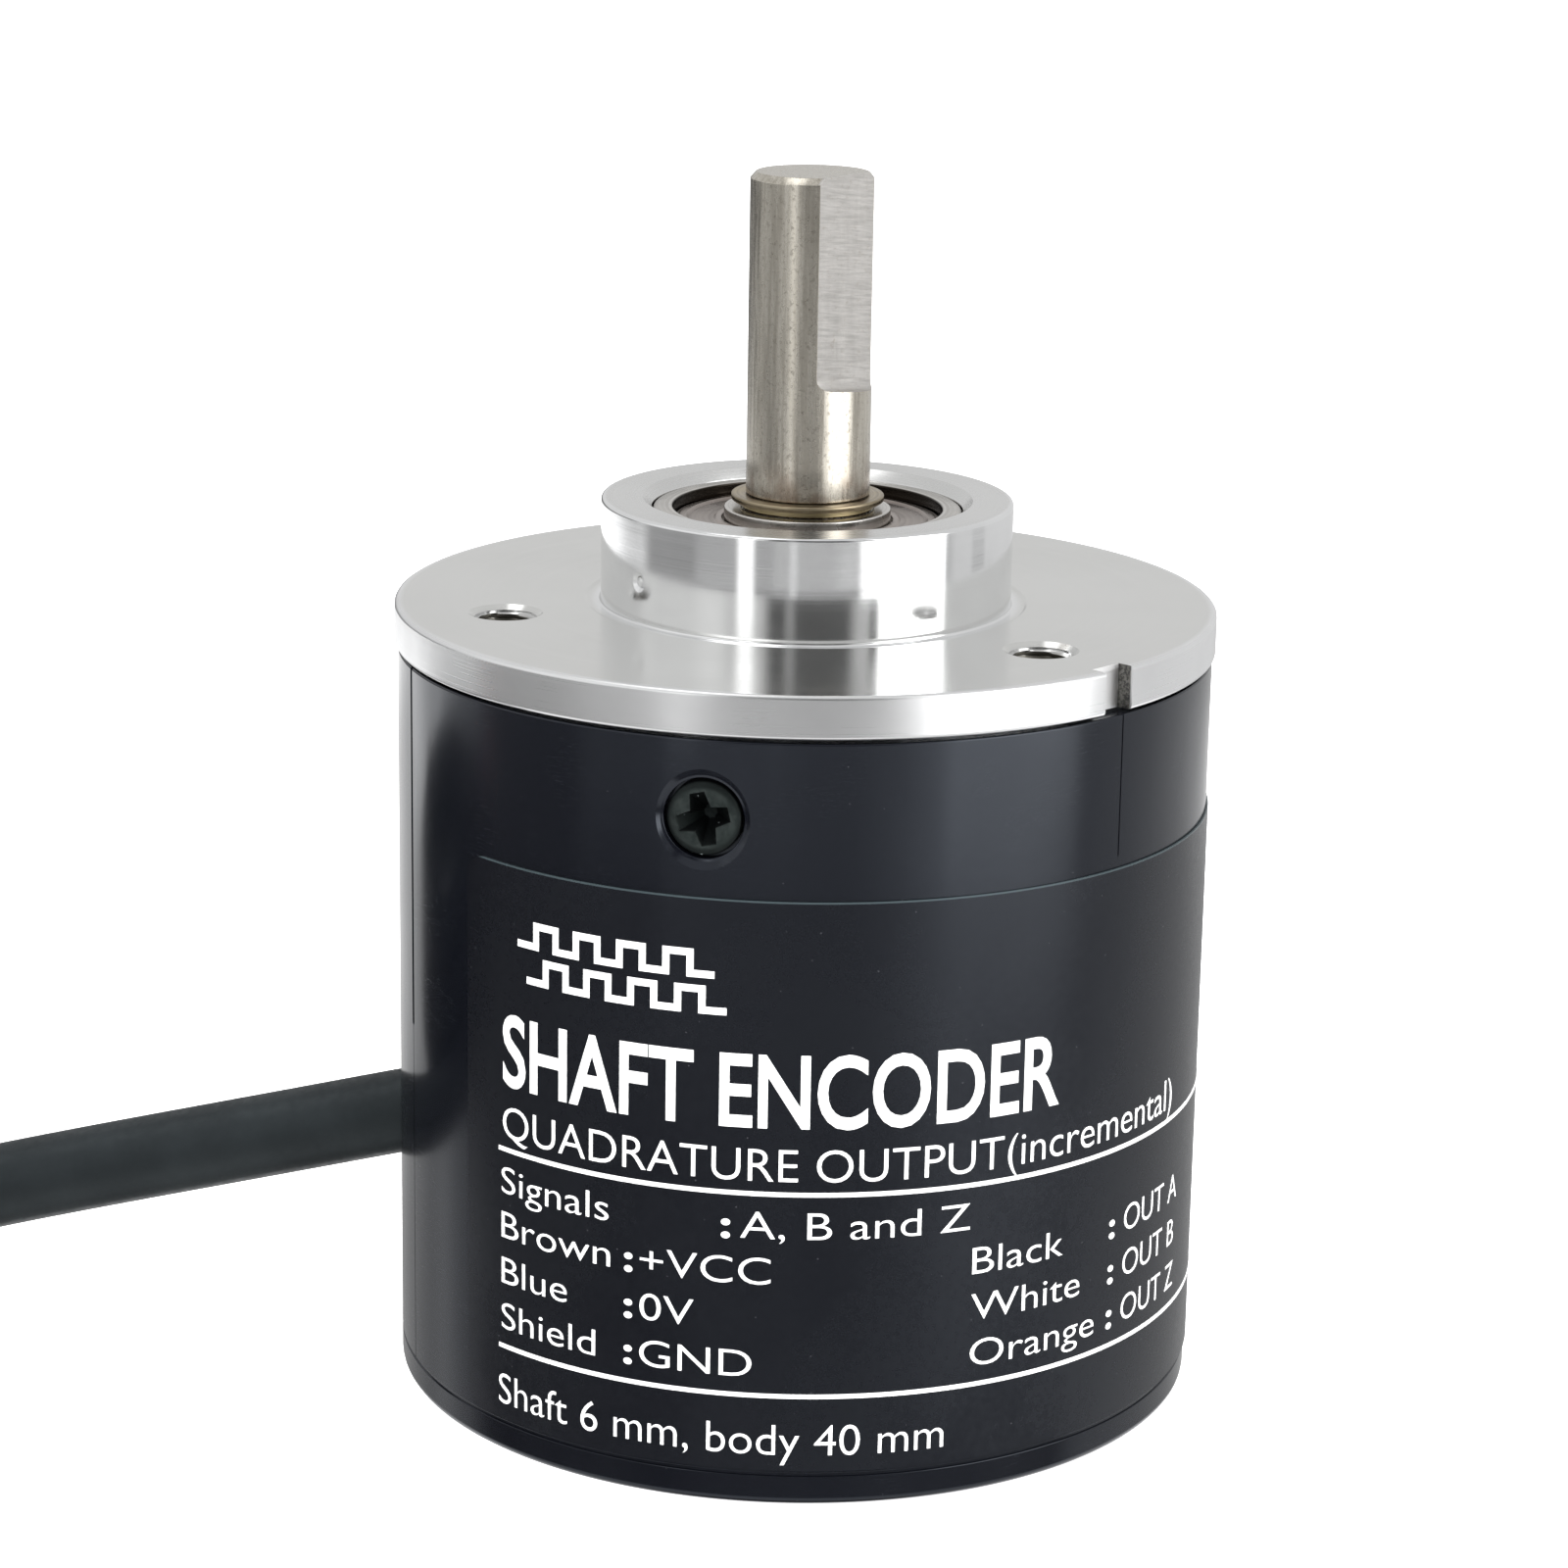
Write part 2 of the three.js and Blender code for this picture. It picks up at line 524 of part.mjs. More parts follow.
function addElectronics() {
  addMesh(encoder, 'main_board', circuitBoard(), 'board');
  SCREW_AZIMUTHS.forEach((azimuth, i) => {
    const place = addGroup(encoder, [0, 0, 0], azimuth);
    const { headRadius, headBottom, shankRadius, top } = BOARD_SCREW;
    const screw = turned([
      [0, headBottom], [headRadius, headBottom], [headRadius, BOARD_BOTTOM - PLAY],
      [shankRadius, BOARD_BOTTOM - PLAY], [shankRadius, top], [0, top],
    ], SMALL_SIDES);
    addMesh(place, `board_screw_${i + 1}`, screw, 'bearingSteel').position.x = POST_CIRCLE_RADIUS;
  });
  const pickup = addGroup(encoder, [0, 0, 0], PICKUP_AZIMUTH);
  addMesh(pickup, 'led_holder', ledHolder(), 'chipPlastic');
  addMesh(pickup, 'led_emitter', rod(LED.radius, LED.bottom, LED.top, SMALL_SIDES), 'ledPlastic')
    .position.x = PICKUP_CIRCLE_RADIUS;
  addMesh(pickup, 'photo_sensor', box(...SENSOR_BOX), 'chipPlastic');
  addMesh(pickup, 'reticle_plate', box(...RETICLE_BOX), 'glass');
  addMesh(encoder, 'board_connector', box(...CONNECTOR_BOX), 'connectorNylon');
}

// Each lead fans out from the end of the jacket and lies along the top of the coil.
function leadPath({ length, bundled, sideways, drop }) {
  const jacketEndZ = COIL_BOTTOM + (2 * COIL_TURNS + 1) * CABLE_RADIUS;
  const start = [
    LEAD_BUNDLE_RADIUS * Math.cos(bundled * DEG),
    jacketEndZ + LEAD_BUNDLE_RADIUS * Math.sin(bundled * DEG),
  ];
  const crown = COIL_BOTTOM + 2 * COIL_TURNS * CABLE_RADIUS + LEAD_RADIUS + 0.1;
  const end = [sideways, crown - drop];
  return [0, 0.2, 0.4, 0.6, 0.8, 1].map((share) => {
    const fanned = Math.min(1, share / 0.8);
    const radius = COIL_RADIUS + start[0] + (end[0] - start[0]) * fanned;
    const z = start[1] + (end[1] - start[1]) * fanned ** (drop > 0 ? 2 : 1);
    const angle = -90 * DEG - (share * length) / COIL_RADIUS;
    return [radius * Math.cos(angle), radius * Math.sin(angle), z];
  });
}

// A strap round the coil's section, thin enough for the coil to lie flat on it.
function coilTie() {
  const top = COIL_BOTTOM + COIL_TURNS * 2 * CABLE_RADIUS + 0.2;
  const outer = box([COIL_RADIUS - TIE_REACH, -TIE_WIDTH / 2, 0],
    [COIL_RADIUS + TIE_REACH, TIE_WIDTH / 2, top + TIE_TOP]);
  const inner = box([COIL_RADIUS - TIE_BORE_REACH, -TIE_WIDTH, COIL_BOTTOM - 0.1],
    [COIL_RADIUS + TIE_BORE_REACH, TIE_WIDTH, top]);
  return combine(outer, { cut: [inner] });
}

function addCable() {
  const { bore, outer, from, to } = GROMMET;
  addMesh(encoder, 'cable_grommet',
    exitRod([[bore, from], [outer, from], [outer, to], [bore, to]], RING_SIDES), 'rubber');
  const route = CABLE_ROUTE.slice(0, CABLE_SOLID_POINTS);
  addMesh(encoder, 'cable', tubeAlong(route, CABLE_RADIUS, CABLE_SIDES, 14), 'cableJacket');
  const leads = tubeAlong(INNER_LEADS_ROUTE, INNER_LEADS_RADIUS, CABLE_SIDES, 2);
  addMesh(encoder, 'inner_leads', leads, 'connectorNylon');
  const coil = addGroup(encoder, [...COIL_CENTRE, 0]);
  addMesh(coil, 'cable_coil', washer(COIL_RADIUS - CABLE_RADIUS, COIL_RADIUS + CABLE_RADIUS,
    COIL_BOTTOM, COIL_BOTTOM + COIL_TURNS * 2 * CABLE_RADIUS, SHAFT_SIDES), 'cableJacket');
  addMesh(coil, 'coil_tie', coilTie(), 'rubber').rotation.z = TIE_AZIMUTH * DEG;
  for (const [name, lead] of Object.entries(LEADS)) {
    const tube = tubeAlong(leadPath(lead), LEAD_RADIUS, 8, 6);
    addMesh(coil, name, tube, 'cableJacket').material.color.set(lead.color);
  }
}

addHousing();
addBearing('front_bearing', FRONT_BEARING_Z);
addBearing('rear_bearing', REAR_BEARING_Z);
addShaftAssembly();
addElectronics();
addCable();

export default encoder;
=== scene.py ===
import functools
import itertools
import math

import bmesh
import bpy
from mathutils import Matrix, Vector


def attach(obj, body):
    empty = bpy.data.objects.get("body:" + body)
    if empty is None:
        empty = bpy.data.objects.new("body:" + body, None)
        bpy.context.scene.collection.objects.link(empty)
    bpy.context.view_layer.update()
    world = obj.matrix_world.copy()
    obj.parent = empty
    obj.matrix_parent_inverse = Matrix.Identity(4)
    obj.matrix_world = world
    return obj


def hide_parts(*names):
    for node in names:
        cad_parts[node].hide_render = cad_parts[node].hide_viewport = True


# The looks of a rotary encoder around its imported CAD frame. +Z runs out of the mounting flange, and
# azimuths are in degrees from +X towards +Y. Meshes are built in millimetres and end in metres.
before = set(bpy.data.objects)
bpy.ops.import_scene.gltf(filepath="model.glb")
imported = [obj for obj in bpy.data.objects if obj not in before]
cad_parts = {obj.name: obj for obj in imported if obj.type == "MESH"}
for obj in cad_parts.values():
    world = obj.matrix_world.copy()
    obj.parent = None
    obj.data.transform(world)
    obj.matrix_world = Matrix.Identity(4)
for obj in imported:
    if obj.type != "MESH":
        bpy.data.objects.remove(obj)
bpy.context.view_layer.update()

MM = 0.001

# How finely round pieces, the bent label and the coil are divided, and where an edge stays sharp.
SIDES = 256
RING_SIDES = 160
WRAP_STEP = 0.3
TURN_POINTS = 48
SHARP_ANGLE = 30

# Details that only the visual model has. A seam has an azimuth, a lower end and a width.
SEAMS = ((-160, 19, 0.3), (-160, 1.66, 0.07), (-42.3, 30, 0.08))
DIMPLE_AZIMUTH, DIMPLE_Z = -142.4, 40.97
RUN_OUT, CUTTER_TILT = 0.5, -5
PRINT_RADIUS, PRINT_THICKNESS = 19.965, 0.014
TIP_RADIUS, TIP_LENGTH = 0.3, 4
DISC_LINES = 240

# Sizes that the CAD model has.
FLANGE_RADIUS, FLANGE_TOP, FLANGE_BOTTOM = 20, 39, 36.94
BOSS_RADIUS, BOSS_TOP = 10, 44
BEARING_BORE = 7.55
COVER_RADIUS, COVER_TOP, COVER_WALL = 19.85, 36.78, 1.4
MOUNT_AZIMUTHS = (-163, -43, 77)
MOUNT_CIRCLE = 15
NOTCH_AZIMUTH, NOTCH_WIDTH, NOTCH_DEPTH = -43.85, 1.85, 0.85
SCREW_AZIMUTHS = (-103, 17, 137)
SCREW_Z = 33.05
SCREW_BORE, POST_CIRCLE = 1.15, 16.2
SCREW_SEAT, SCREW_HEAD_TOP = 19.0, 19.75
LABEL_FROM, LABEL_TO, LABEL_BOTTOM, LABEL_TOP = -141.2, 24, 1.8, 29.45
LABEL_RADIUS, LABEL_THICKNESS = 19.87, 0.09
SHAFT_RADIUS, SHAFT_TOP, SHAFT_BOTTOM = 3, 59.75, 22.2
FLAT_AZIMUTH, FLAT_DISTANCE, FLAT_BOTTOM = -35.5, 2, 49.5
FRONT_BEARING_Z = 41.05
RACE_HALF_WIDTH, LAND_HALF_WIDTH, RACE_CORNER = 2.5, 1.7, 0.22
BALL_CIRCLE_RADIUS, GROOVE_RADIUS = 5.25, 1.27
CABLE_EXIT = (-19.85, 0, 12.17)
CABLE_SLOPE = 12
CABLE_RADIUS = 2.1
# The cable's route, as in the CAD model, up to where its coil starts.
CABLE_ROUTE = (
    (-14.5, 0, 13.31), (-18, 0, 12.56), (-21.5, 0, 11.82), (-25, 0, 11.07), (-29, 0, 10.22),
    (-33, 0, 9.37), (-37, 0, 8.5), (-41, 0, 7.58), (-45, -0.1, 6.55), (-49, -0.4, 5.4),
    (-53, -1, 4.25), (-57, -1.8, 3.3), (-61, -2.8, 2.7), (-65, -3.8, 2.42), (-69, -4.8, 2.35),
    (-73, -5.6, 2.35),
)
COIL_RADIUS, COIL_TURNS, COIL_BOTTOM = 23.1, 3, 0.3
COIL_CENTRE = Vector((-77, 17.1, 0))
LEAD_RADIUS, LEAD_BUNDLE_RADIUS = 0.52, 1.3
# Colour, length, angle in the bundle, and how far each ends beside and below the coil's crown.
LEADS = {
    "lead_brown": ((0.12, 0.045, 0.018), 25, 180, -3.5, 1),
    "lead_blue": ((0.01, 0.06, 0.38), 23.5, 120, -2, 0),
    "lead_black": ((0.012, 0.012, 0.013), 26, 240, -0.67, 0),
    "lead_white": ((0.78, 0.78, 0.75), 22.5, 300, 0.67, 0),
    "lead_orange": ((0.72, 0.16, 0.015), 24.5, 60, 2, 0),
    "lead_shield": ((0.4, 0.4, 0.39), 21, 0, 3.5, 1),
}


# ---------------------------------------------------------------- mesh tools

def polar(radius, azimuth, z=0.0):
    """The point at a radius, an azimuth and a height."""
    angle = math.radians(azimuth)
    return Vector((radius * math.cos(angle), radius * math.sin(angle), z))


def turn(azimuth):
    """A turn about Z."""
    return Matrix.Rotation(math.radians(azimuth), 4, "Z")


def outward(z):
    """Lays a piece built along +Z along +X instead, at a height."""
    return Matrix.Translation((0, 0, z)) @ Matrix.Rotation(math.pi / 2, 4, "Y")


def filleted(points, steps=4):
    """(radius, z, fillet) corners as (radius, z) points, with an arc for each fillet."""
    outline = []
    for i, (radius, z, fillet) in enumerate(points):
        corner = Vector((radius, z))
        if not fillet:
            outline.append(corner)
            continue
        before = (Vector(points[i - 1][:2]) - corner).normalized()
        after = (Vector(points[(i + 1) % len(points)][:2]) - corner).normalized()
        half = before.angle(after) / 2
        centre = corner + (before + after).normalized() * fillet / math.sin(half)
        start = (corner + before * fillet / math.tan(half) - centre).normalized()
        end = (corner + after * fillet / math.tan(half) - centre).normalized()
        for step in range(steps + 1):
            outline.append(centre + start.slerp(end, step / steps).normalized() * fillet)
    return [(point.x, point.y) for point in outline]


def mesh_object(name, vertices, faces):
    """A mesh in the scene, with its faces turned outwards."""
    mesh = bpy.data.meshes.new(name)
    mesh.from_pydata([tuple(v) for v in vertices], [], faces)
    work = bmesh.new()
    work.from_mesh(mesh)
    bmesh.ops.recalc_face_normals(work, faces=work.faces)
    work.to_mesh(mesh)
    work.free()
    obj = bpy.data.objects.new(name, mesh)
    bpy.context.scene.collection.objects.link(obj)
    return obj


def lathe(name, profile, sides=SIDES):
    """A loop of (radius, z) points turned about Z. A point on the axis becomes one vertex."""
    vertices, rings = [], []
    for radius, z in profile:
        first = len(vertices)
        if radius < 1e-6:
            vertices.append(Vector((0, 0, z)))
            rings.append([first] * sides)
            continue
        vertices += [polar(radius, 360 * i / sides, z) for i in range(sides)]
        rings.append(list(range(first, first + sides)))
    faces = []
    for ring, following in zip(rings, rings[1:] + rings[:1]):
        for i in range(sides):
            j = (i + 1) % sides
            corners = list(dict.fromkeys((ring[i], ring[j], following[j], following[i])))
            if len(corners) > 2:
                faces.append(corners)
    return mesh_object(name, vertices, faces)


def block(low, high):
    """A closed box, used to cut with."""
    corners = list(itertools.product(*zip(low, high)))
    faces = [(0, 1, 3, 2), (4, 6, 7, 5), (0, 4, 5, 1), (2, 3, 7, 6), (0, 2, 6, 4), (1, 5, 7, 3)]
    return mesh_object("tool", corners, faces)


def prism(outline, low, high):
    """An outline of (x, z) points given a width along Y, used to cut with."""
    count = len(outline)
    vertices = [(x, y, z) for y in (low, high) for x, z in outline]
    faces = [list(range(count)), list(range(2 * count - 1, count - 1, -1))]
    faces += [(i, (i + 1) % count, count + (i + 1) % count, count + i) for i in range(count)]
    return mesh_object("tool", vertices, faces)


def moved(obj, matrix):
    """The object with its mesh moved."""
    obj.data.transform(matrix)
    return obj


def apply_modifiers(obj):
    """The object with its modifiers made real."""
    evaluated = obj.evaluated_get(bpy.context.evaluated_depsgraph_get())
    mesh = bpy.data.meshes.new_from_object(evaluated)
    obj.modifiers.clear()
    obj.data = mesh
    return obj


def combine(obj, tools, operation="DIFFERENCE"):
    """Cuts the tools from the object, or joins them to it, and removes them."""
    for tool in tools:
        modifier = obj.modifiers.new("combine", "BOOLEAN")
        modifier.solver = "EXACT"
        modifier.operation = operation
        modifier.object = tool
    apply_modifiers(obj)
    for tool in tools:
        bpy.data.objects.remove(tool)
    return obj


def bevelled(obj, width, segments=2, angle=35):
    """The object with its edges rounded where they turn by more than an angle."""
    modifier = obj.modifiers.new("bevel", "BEVEL")
    modifier.width = width
    modifier.segments = segments
    modifier.limit_method = "ANGLE"
    modifier.angle_limit = math.radians(angle)
    return apply_modifiers(obj)


def round_normals(obj, radius):
    """Gives a round wall and the level faces their exact normals, so that they mirror cleanly."""
    mesh = obj.data
    normals = [Vector(normal.vector) for normal in mesh.corner_normals]
    for polygon in mesh.polygons:
        if abs(polygon.normal.z) > 0.9999:
            for loop in polygon.loop_indices:
                normals[loop] = polygon.normal.copy()
        if abs(polygon.normal.z) > 0.02:
            continue
        for loop in polygon.loop_indices:
            point = mesh.vertices[mesh.loops[loop].vertex_index].co
            radial = Vector((point.x, point.y, 0))
            on_wall = abs(radial.length / MM - radius) < 0.02
            if on_wall and polygon.normal.dot(radial.normalized()) > 0.99:
                normals[loop] = radial.normalized()
    mesh.normals_split_custom_set(normals)


def piece(obj, body, slot, replaced=None, wall=None, material=None):
    """Ends a mesh piece: metres, smooth shading, its material, its body and the node it replaces."""
    obj.data.transform(Matrix.Scale(MM, 4))
    obj.data.materials.clear()
    obj.data.materials.append(MATERIALS[material or slot])
    obj.data.shade_smooth()
    obj.data.set_sharp_from_angle(angle=math.radians(SHARP_ANGLE))
    modifier = obj.modifiers.new("normals", "WEIGHTED_NORMAL")
    modifier.keep_sharp = True
    modifier.weight = 90
    apply_modifiers(obj)
    if wall:
        round_normals(obj, wall)
    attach(obj, body)
    if replaced:
        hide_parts(replaced)
    return obj


def curve(name, points, radius, slot, material=None):
    """A round cord along points in millimetres, as a curve of one open spline."""
    data = bpy.data.curves.new(name, "CURVE")
    data.dimensions = "3D"
    data.bevel_depth = radius * MM
    data.bevel_resolution = 6
    data.use_fill_caps = True
    spline = data.splines.new("POLY")
    spline.points.add(len(points) - 1)
    for point, place in zip(spline.points, points):
        point.co = (*(Vector(place) * MM), 1)
    spline.use_smooth = True
    data.materials.append(MATERIALS[material or slot])
    obj = bpy.data.objects.new(name, data)
    bpy.context.scene.collection.objects.link(obj)
    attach(obj, "housing")
    return obj


def smoothstep(value):
    """An even rise from 0 to 1."""
    value = min(1, max(0, value))
    return value * value * (3 - 2 * value)


def catmull(points, steps):
    """Points on a smooth line through the given ones."""
    line = []
    padded = [points[0], *points, points[-1]]
    for a, b, c, d in zip(padded, padded[1:], padded[2:], padded[3:]):
        a, b, c, d = (Vector(p) for p in (a, b, c, d))
        for step in range(steps):
            t = step / steps
            line.append(0.5 * (2 * b + (c - a) * t + (2 * a - 5 * b + 4 * c - d) * t ** 2
                               + (3 * b - a - 3 * c + d) * t ** 3))
    return line + [Vector(points[-1])]


# ---------------------------------------------------------------- materials

class Finish:
    """A node material: a Principled shader, and short calls for the nodes that feed it."""

    def __init__(self, name, color, metallic=0.0, roughness=0.5, **sockets):
        self.material = bpy.data.materials.new(name)
        self.material.use_nodes = True
        self.tree = self.material.node_tree
        self.shader = self.tree.nodes["Principled BSDF"]
        self.set("Base Color", (*color, 1))
        self.set("Metallic", metallic)
        self.set("Roughness", roughness)
        for socket, value in sockets.items():
            self.set(socket.replace("_", " "), value)
        self.place = None

    def set(self, socket, value):
        """Sets or links a socket of the shader."""
        self.feed(self.shader.inputs[socket], value)

    def feed(self, socket, value):
        """Links a node's output to a socket, or sets the socket to a value."""
        if isinstance(value, bpy.types.NodeSocket):
            self.tree.links.new(value, socket)
        else:
            socket.default_value = value

    def node(self, kind, *values, **settings):
        """A new node, with values for its first sockets."""
        node = self.tree.nodes.new("ShaderNode" + kind)
        for setting, value in settings.items():
            setattr(node, setting, value)
        for socket, value in zip(node.inputs, values):
            self.feed(socket, value)
        return node

    def math(self, operation, *values):
        """One step of arithmetic."""
        return self.node("Math", *values, operation=operation).outputs[0]

    def product(self, first, *others):
        """The values multiplied, from the first on."""
        return functools.reduce(lambda total, value: self.math("MULTIPLY", total, value), others, first)

    def sum(self, first, *others):
        """The values added, from the first on."""
        return functools.reduce(lambda total, value: self.math("ADD", total, value), others, first)

    def position(self):
        """The point on the object, in millimetres."""
        if self.place is None:
            coordinates = self.node("TexCoord").outputs["Object"]
            scaled = self.node("VectorMath", operation="SCALE")
            self.feed(scaled.inputs[0], coordinates)
            scaled.inputs["Scale"].default_value = 1 / MM
            self.place = scaled.outputs[0]
        return self.place

    def axes(self):
        """The x, y and z of the position."""
        return self.node("SeparateXYZ", self.position()).outputs[:3]

    def radius(self):
        """The distance from the Z axis."""
        x, y, _ = self.axes()
        return self.math("SQRT", self.sum(self.product(x, x), self.product(y, y)))

    def stretched(self, x, y, z):
        """The position with each axis scaled, so that a noise on it runs along the smaller ones."""
        return self.node("VectorMath", self.position(), (x, y, z), operation="MULTIPLY").outputs[0]

    def rings(self, across, along):
        """A place that depends on the radius and the height only, as the marks of turning do."""
        z = self.axes()[2]
        stretched = (self.product(self.radius(), across), 0.0, self.product(z, along))
        return self.node("CombineXYZ", *stretched).outputs[0]

    def noise(self, place, scale=1.0, detail=3.0, rough=0.55):
        """A soft noise of about 0.3 to 0.7."""
        node = self.node("TexNoise")
        self.feed(node.inputs["Vector"], place)
        self.feed(node.inputs["Scale"], scale)
        self.feed(node.inputs["Detail"], detail)
        self.feed(node.inputs["Roughness"], rough)
        return node.outputs[0]

    def specks(self, place, scale, size):
        """White dots of that size, where each cell of a Voronoi pattern has its centre."""
        node = self.node("TexVoronoi")
        self.feed(node.inputs["Vector"], place)
        self.feed(node.inputs["Scale"], scale)
        return self.fit(node.outputs["Distance"], size, size * 0.4)

    def fit(self, value, low, high, to_low=0, to_high=1):
        """A smooth step from one value to another, as the input goes from low to high."""
        node = self.node("MapRange", value, low, high, to_low, to_high)
        node.interpolation_type = "SMOOTHSTEP"
        return node.outputs[0]

    def between(self, value, low, low_end, high, high_end):
        """1 from low_end to high, and 0 below low and above high_end."""
        return self.product(self.fit(value, low, low_end), self.fit(value, high, high_end, 1, 0))

    def mix(self, factor, first, second):
        """The first colour at a factor of 0 and the second at 1."""
        node = self.node("Mix", data_type="RGBA")
        for index, value in ((0, factor), (6, first), (7, second)):
            if isinstance(value, tuple):
                value = (*value, 1)
            self.feed(node.inputs[index], value)
        return node.outputs[2]

    def bump(self, height, depth, strength=1.0, below=None):
        """Tilts the surface by a height of 0 to 1 that is depth millimetres tall."""
        node = self.node("Bump")
        self.feed(node.inputs["Height"], height)
        node.inputs["Distance"].default_value = depth * MM
        node.inputs["Strength"].default_value = strength
        if below:
            self.feed(node.inputs["Normal"], below)
        self.set("Normal", node.outputs[0])
        return node.outputs[0]


def axes_towards(f, azimuth):
    """How far a point lies out along an azimuth, and how far to its side."""
    x, y, _ = f.axes()
    out = polar(1, azimuth)
    along = f.sum(f.product(x, out.x), f.product(y, out.y))
    return along, f.math("SUBTRACT", f.product(y, out.x), f.product(x, out.y))


def turned_aluminium():
    """Boss and rim nearly mirror bright, the flange's face satin, with fine turning marks all over. Painted
    shade darkens the tapped holes and the notch's side wall.
    """
    f = Finish("turned_aluminium", (0.83, 0.83, 0.82), 1.0, 0.2, Anisotropic=0.45, Anisotropic_Rotation=0.25)
    f.set("Tangent", f.node("Tangent", direction_type="RADIAL", axis="Z").outputs[0])
    radius, z = f.radius(), f.axes()[2]
    face = f.between(radius, BOSS_RADIUS + 0.15, BOSS_RADIUS + 0.6,
                     FLANGE_RADIUS - 0.5, FLANGE_RADIUS - 0.15)
    face = f.product(face, f.fit(z, FLANGE_TOP - 0.3, FLANGE_TOP - 0.15))
    mouth = f.product(f.fit(radius, BOSS_RADIUS - 0.3, BOSS_RADIUS - 0.1, 1, 0),
                      f.fit(z, BOSS_TOP - 0.7, BOSS_TOP - 0.4))
    rim = f.fit(radius, FLANGE_RADIUS - 0.3, FLANGE_RADIUS - 0.1)
    # Painted shade: the inside of the tapped holes, below their mouths, is coloured dark.
    hole = f.between(radius, MOUNT_CIRCLE - 1.8, MOUNT_CIRCLE - 1.7, MOUNT_CIRCLE + 1.7, MOUNT_CIRCLE + 1.8)
    hole = f.product(hole, f.fit(z, FLANGE_TOP - 0.7, FLANGE_TOP - 0.08, 1, 0))
    along, across = axes_towards(f, NOTCH_AZIMUTH)
    inside = f.fit(f.math("ABSOLUTE", across), NOTCH_WIDTH / 2 + 0.015, NOTCH_WIDTH / 2 + 0.035, 1, 0)
    milled = f.product(f.fit(along, FLANGE_RADIUS - 0.9, FLANGE_RADIUS - 0.86), inside)
    milled = f.product(milled, f.fit(radius, FLANGE_RADIUS - 0.15, FLANGE_RADIUS - 0.05, 1, 0))
    # The notch's side wall that is in view, which is given painted shade below.
    side = f.product(milled, f.fit(across, NOTCH_WIDTH / 2 - 0.02, NOTCH_WIDTH / 2 - 0.01))
    marks = f.noise(f.rings(5, 9), 1.6, 5, 0.7)
    cloud = f.noise(f.stretched(0.16, 0.16, 0.16), 1, 4)
    rough = f.sum(f.product(face, 0.1), f.product(rim, 0.2), f.product(mouth, 0.16),
                  f.fit(cloud, 0.3, 0.7, 0.07, 0.11), f.product(f.math("MAXIMUM", milled, hole), 0.35))
    f.set("Roughness", f.sum(rough, f.fit(marks, 0.3, 0.7, -0.02, 0.05)))
    tint = f.mix(f.fit(cloud, 0.35, 0.7), (0.87, 0.875, 0.88), (0.8, 0.805, 0.81))
    tint = f.mix(f.product(face, 0.8), tint, (0.7, 0.7, 0.68))
    tint = f.mix(f.product(mouth, 0.8), tint, (0.68, 0.68, 0.67))
    # Painted shade on that side wall: a near-black mottle of two dark greys.
    notch_shade_mottle = f.fit(f.noise(f.stretched(6, 6, 6), 1, 4, 0.7), 0.42, 0.6)
    tint = f.mix(f.product(milled, 0.9), tint, (0.95, 0.95, 0.95))
    tint = f.mix(side, tint, f.mix(notch_shade_mottle, (0.1, 0.1, 0.095), (0.3, 0.29, 0.27)))
    f.set("Base Color", f.mix(hole, tint, (0.2, 0.19, 0.165)))
    waves = f.bump(f.noise(f.rings(0.9, 1.1), 1, 2), 0.008, 0.5)
    f.bump(marks, 0.0015, 0.5, waves)
    return f.material


def glossy_black():
    """The moulded cover: near black, slightly blue, with a faint orange peel, dust and hairlines."""
    f = Finish("glossy_black", (0.0025, 0.0028, 0.0045), 0.0, 0.16, IOR=1.5, Specular_Tint=(0.8, 0.88, 1, 1))
    dust = f.specks(f.position(), 1.15, 0.045)
    scratch_field = f.noise(f.stretched(0.7, 0.7, 7), 1, 2)
    hairline = f.fit(f.math("ABSOLUTE", f.math("SUBTRACT", scratch_field, 0.5)), 0.0, 0.004, 1, 0)
    patch = f.fit(f.noise(f.stretched(0.25, 0.25, 0.25), 1, 2), 0.5, 0.62)
    marks = f.product(hairline, patch)
    smear = f.noise(f.stretched(0.12, 0.12, 0.05), 1, 4)
    f.set("Roughness", f.sum(f.fit(smear, 0.3, 0.7, 0.12, 0.2), f.product(marks, 0.2)))
    worn = f.mix(f.product(marks, 0.12), (0.0025, 0.0028, 0.0045), (0.06, 0.06, 0.07))
    f.set("Base Color", f.mix(f.product(dust, 0.3), worn, (0.1, 0.1, 0.11)))
    f.bump(f.noise(f.stretched(0.6, 0.6, 0.6), 1, 2), 0.01, 0.2)
    return f.material


def film_black():
    """The printed label: a satin film, a touch rougher than the cover, with a pale cut edge."""
    f = Finish("label_film", (0.0028, 0.003, 0.0045), 0.0, 0.24, IOR=1.46, Specular_Tint=(0.8, 0.88, 1, 1))
    grain = f.noise(f.stretched(3, 3, 3), 1, 4)
    smear = f.noise(f.stretched(0.1, 0.1, 0.07), 1, 3)
    f.set("Roughness", f.sum(f.fit(smear, 0.3, 0.7, 0.2, 0.28), f.fit(grain, 0.3, 0.7, 0, 0.04)))
    dust = f.specks(f.position(), 0.95, 0.045)
    edge = f.fit(f.axes()[2], LABEL_TOP - 0.1, LABEL_TOP - 0.06, 0, 0.6)
    film = f.mix(edge, (0.0028, 0.003, 0.0045), (0.05, 0.07, 0.075))
    f.set("Base Color", f.mix(f.product(dust, 0.3), film, (0.12, 0.12, 0.13)))
    f.bump(grain, 0.0005, 0.5)
    return f.material


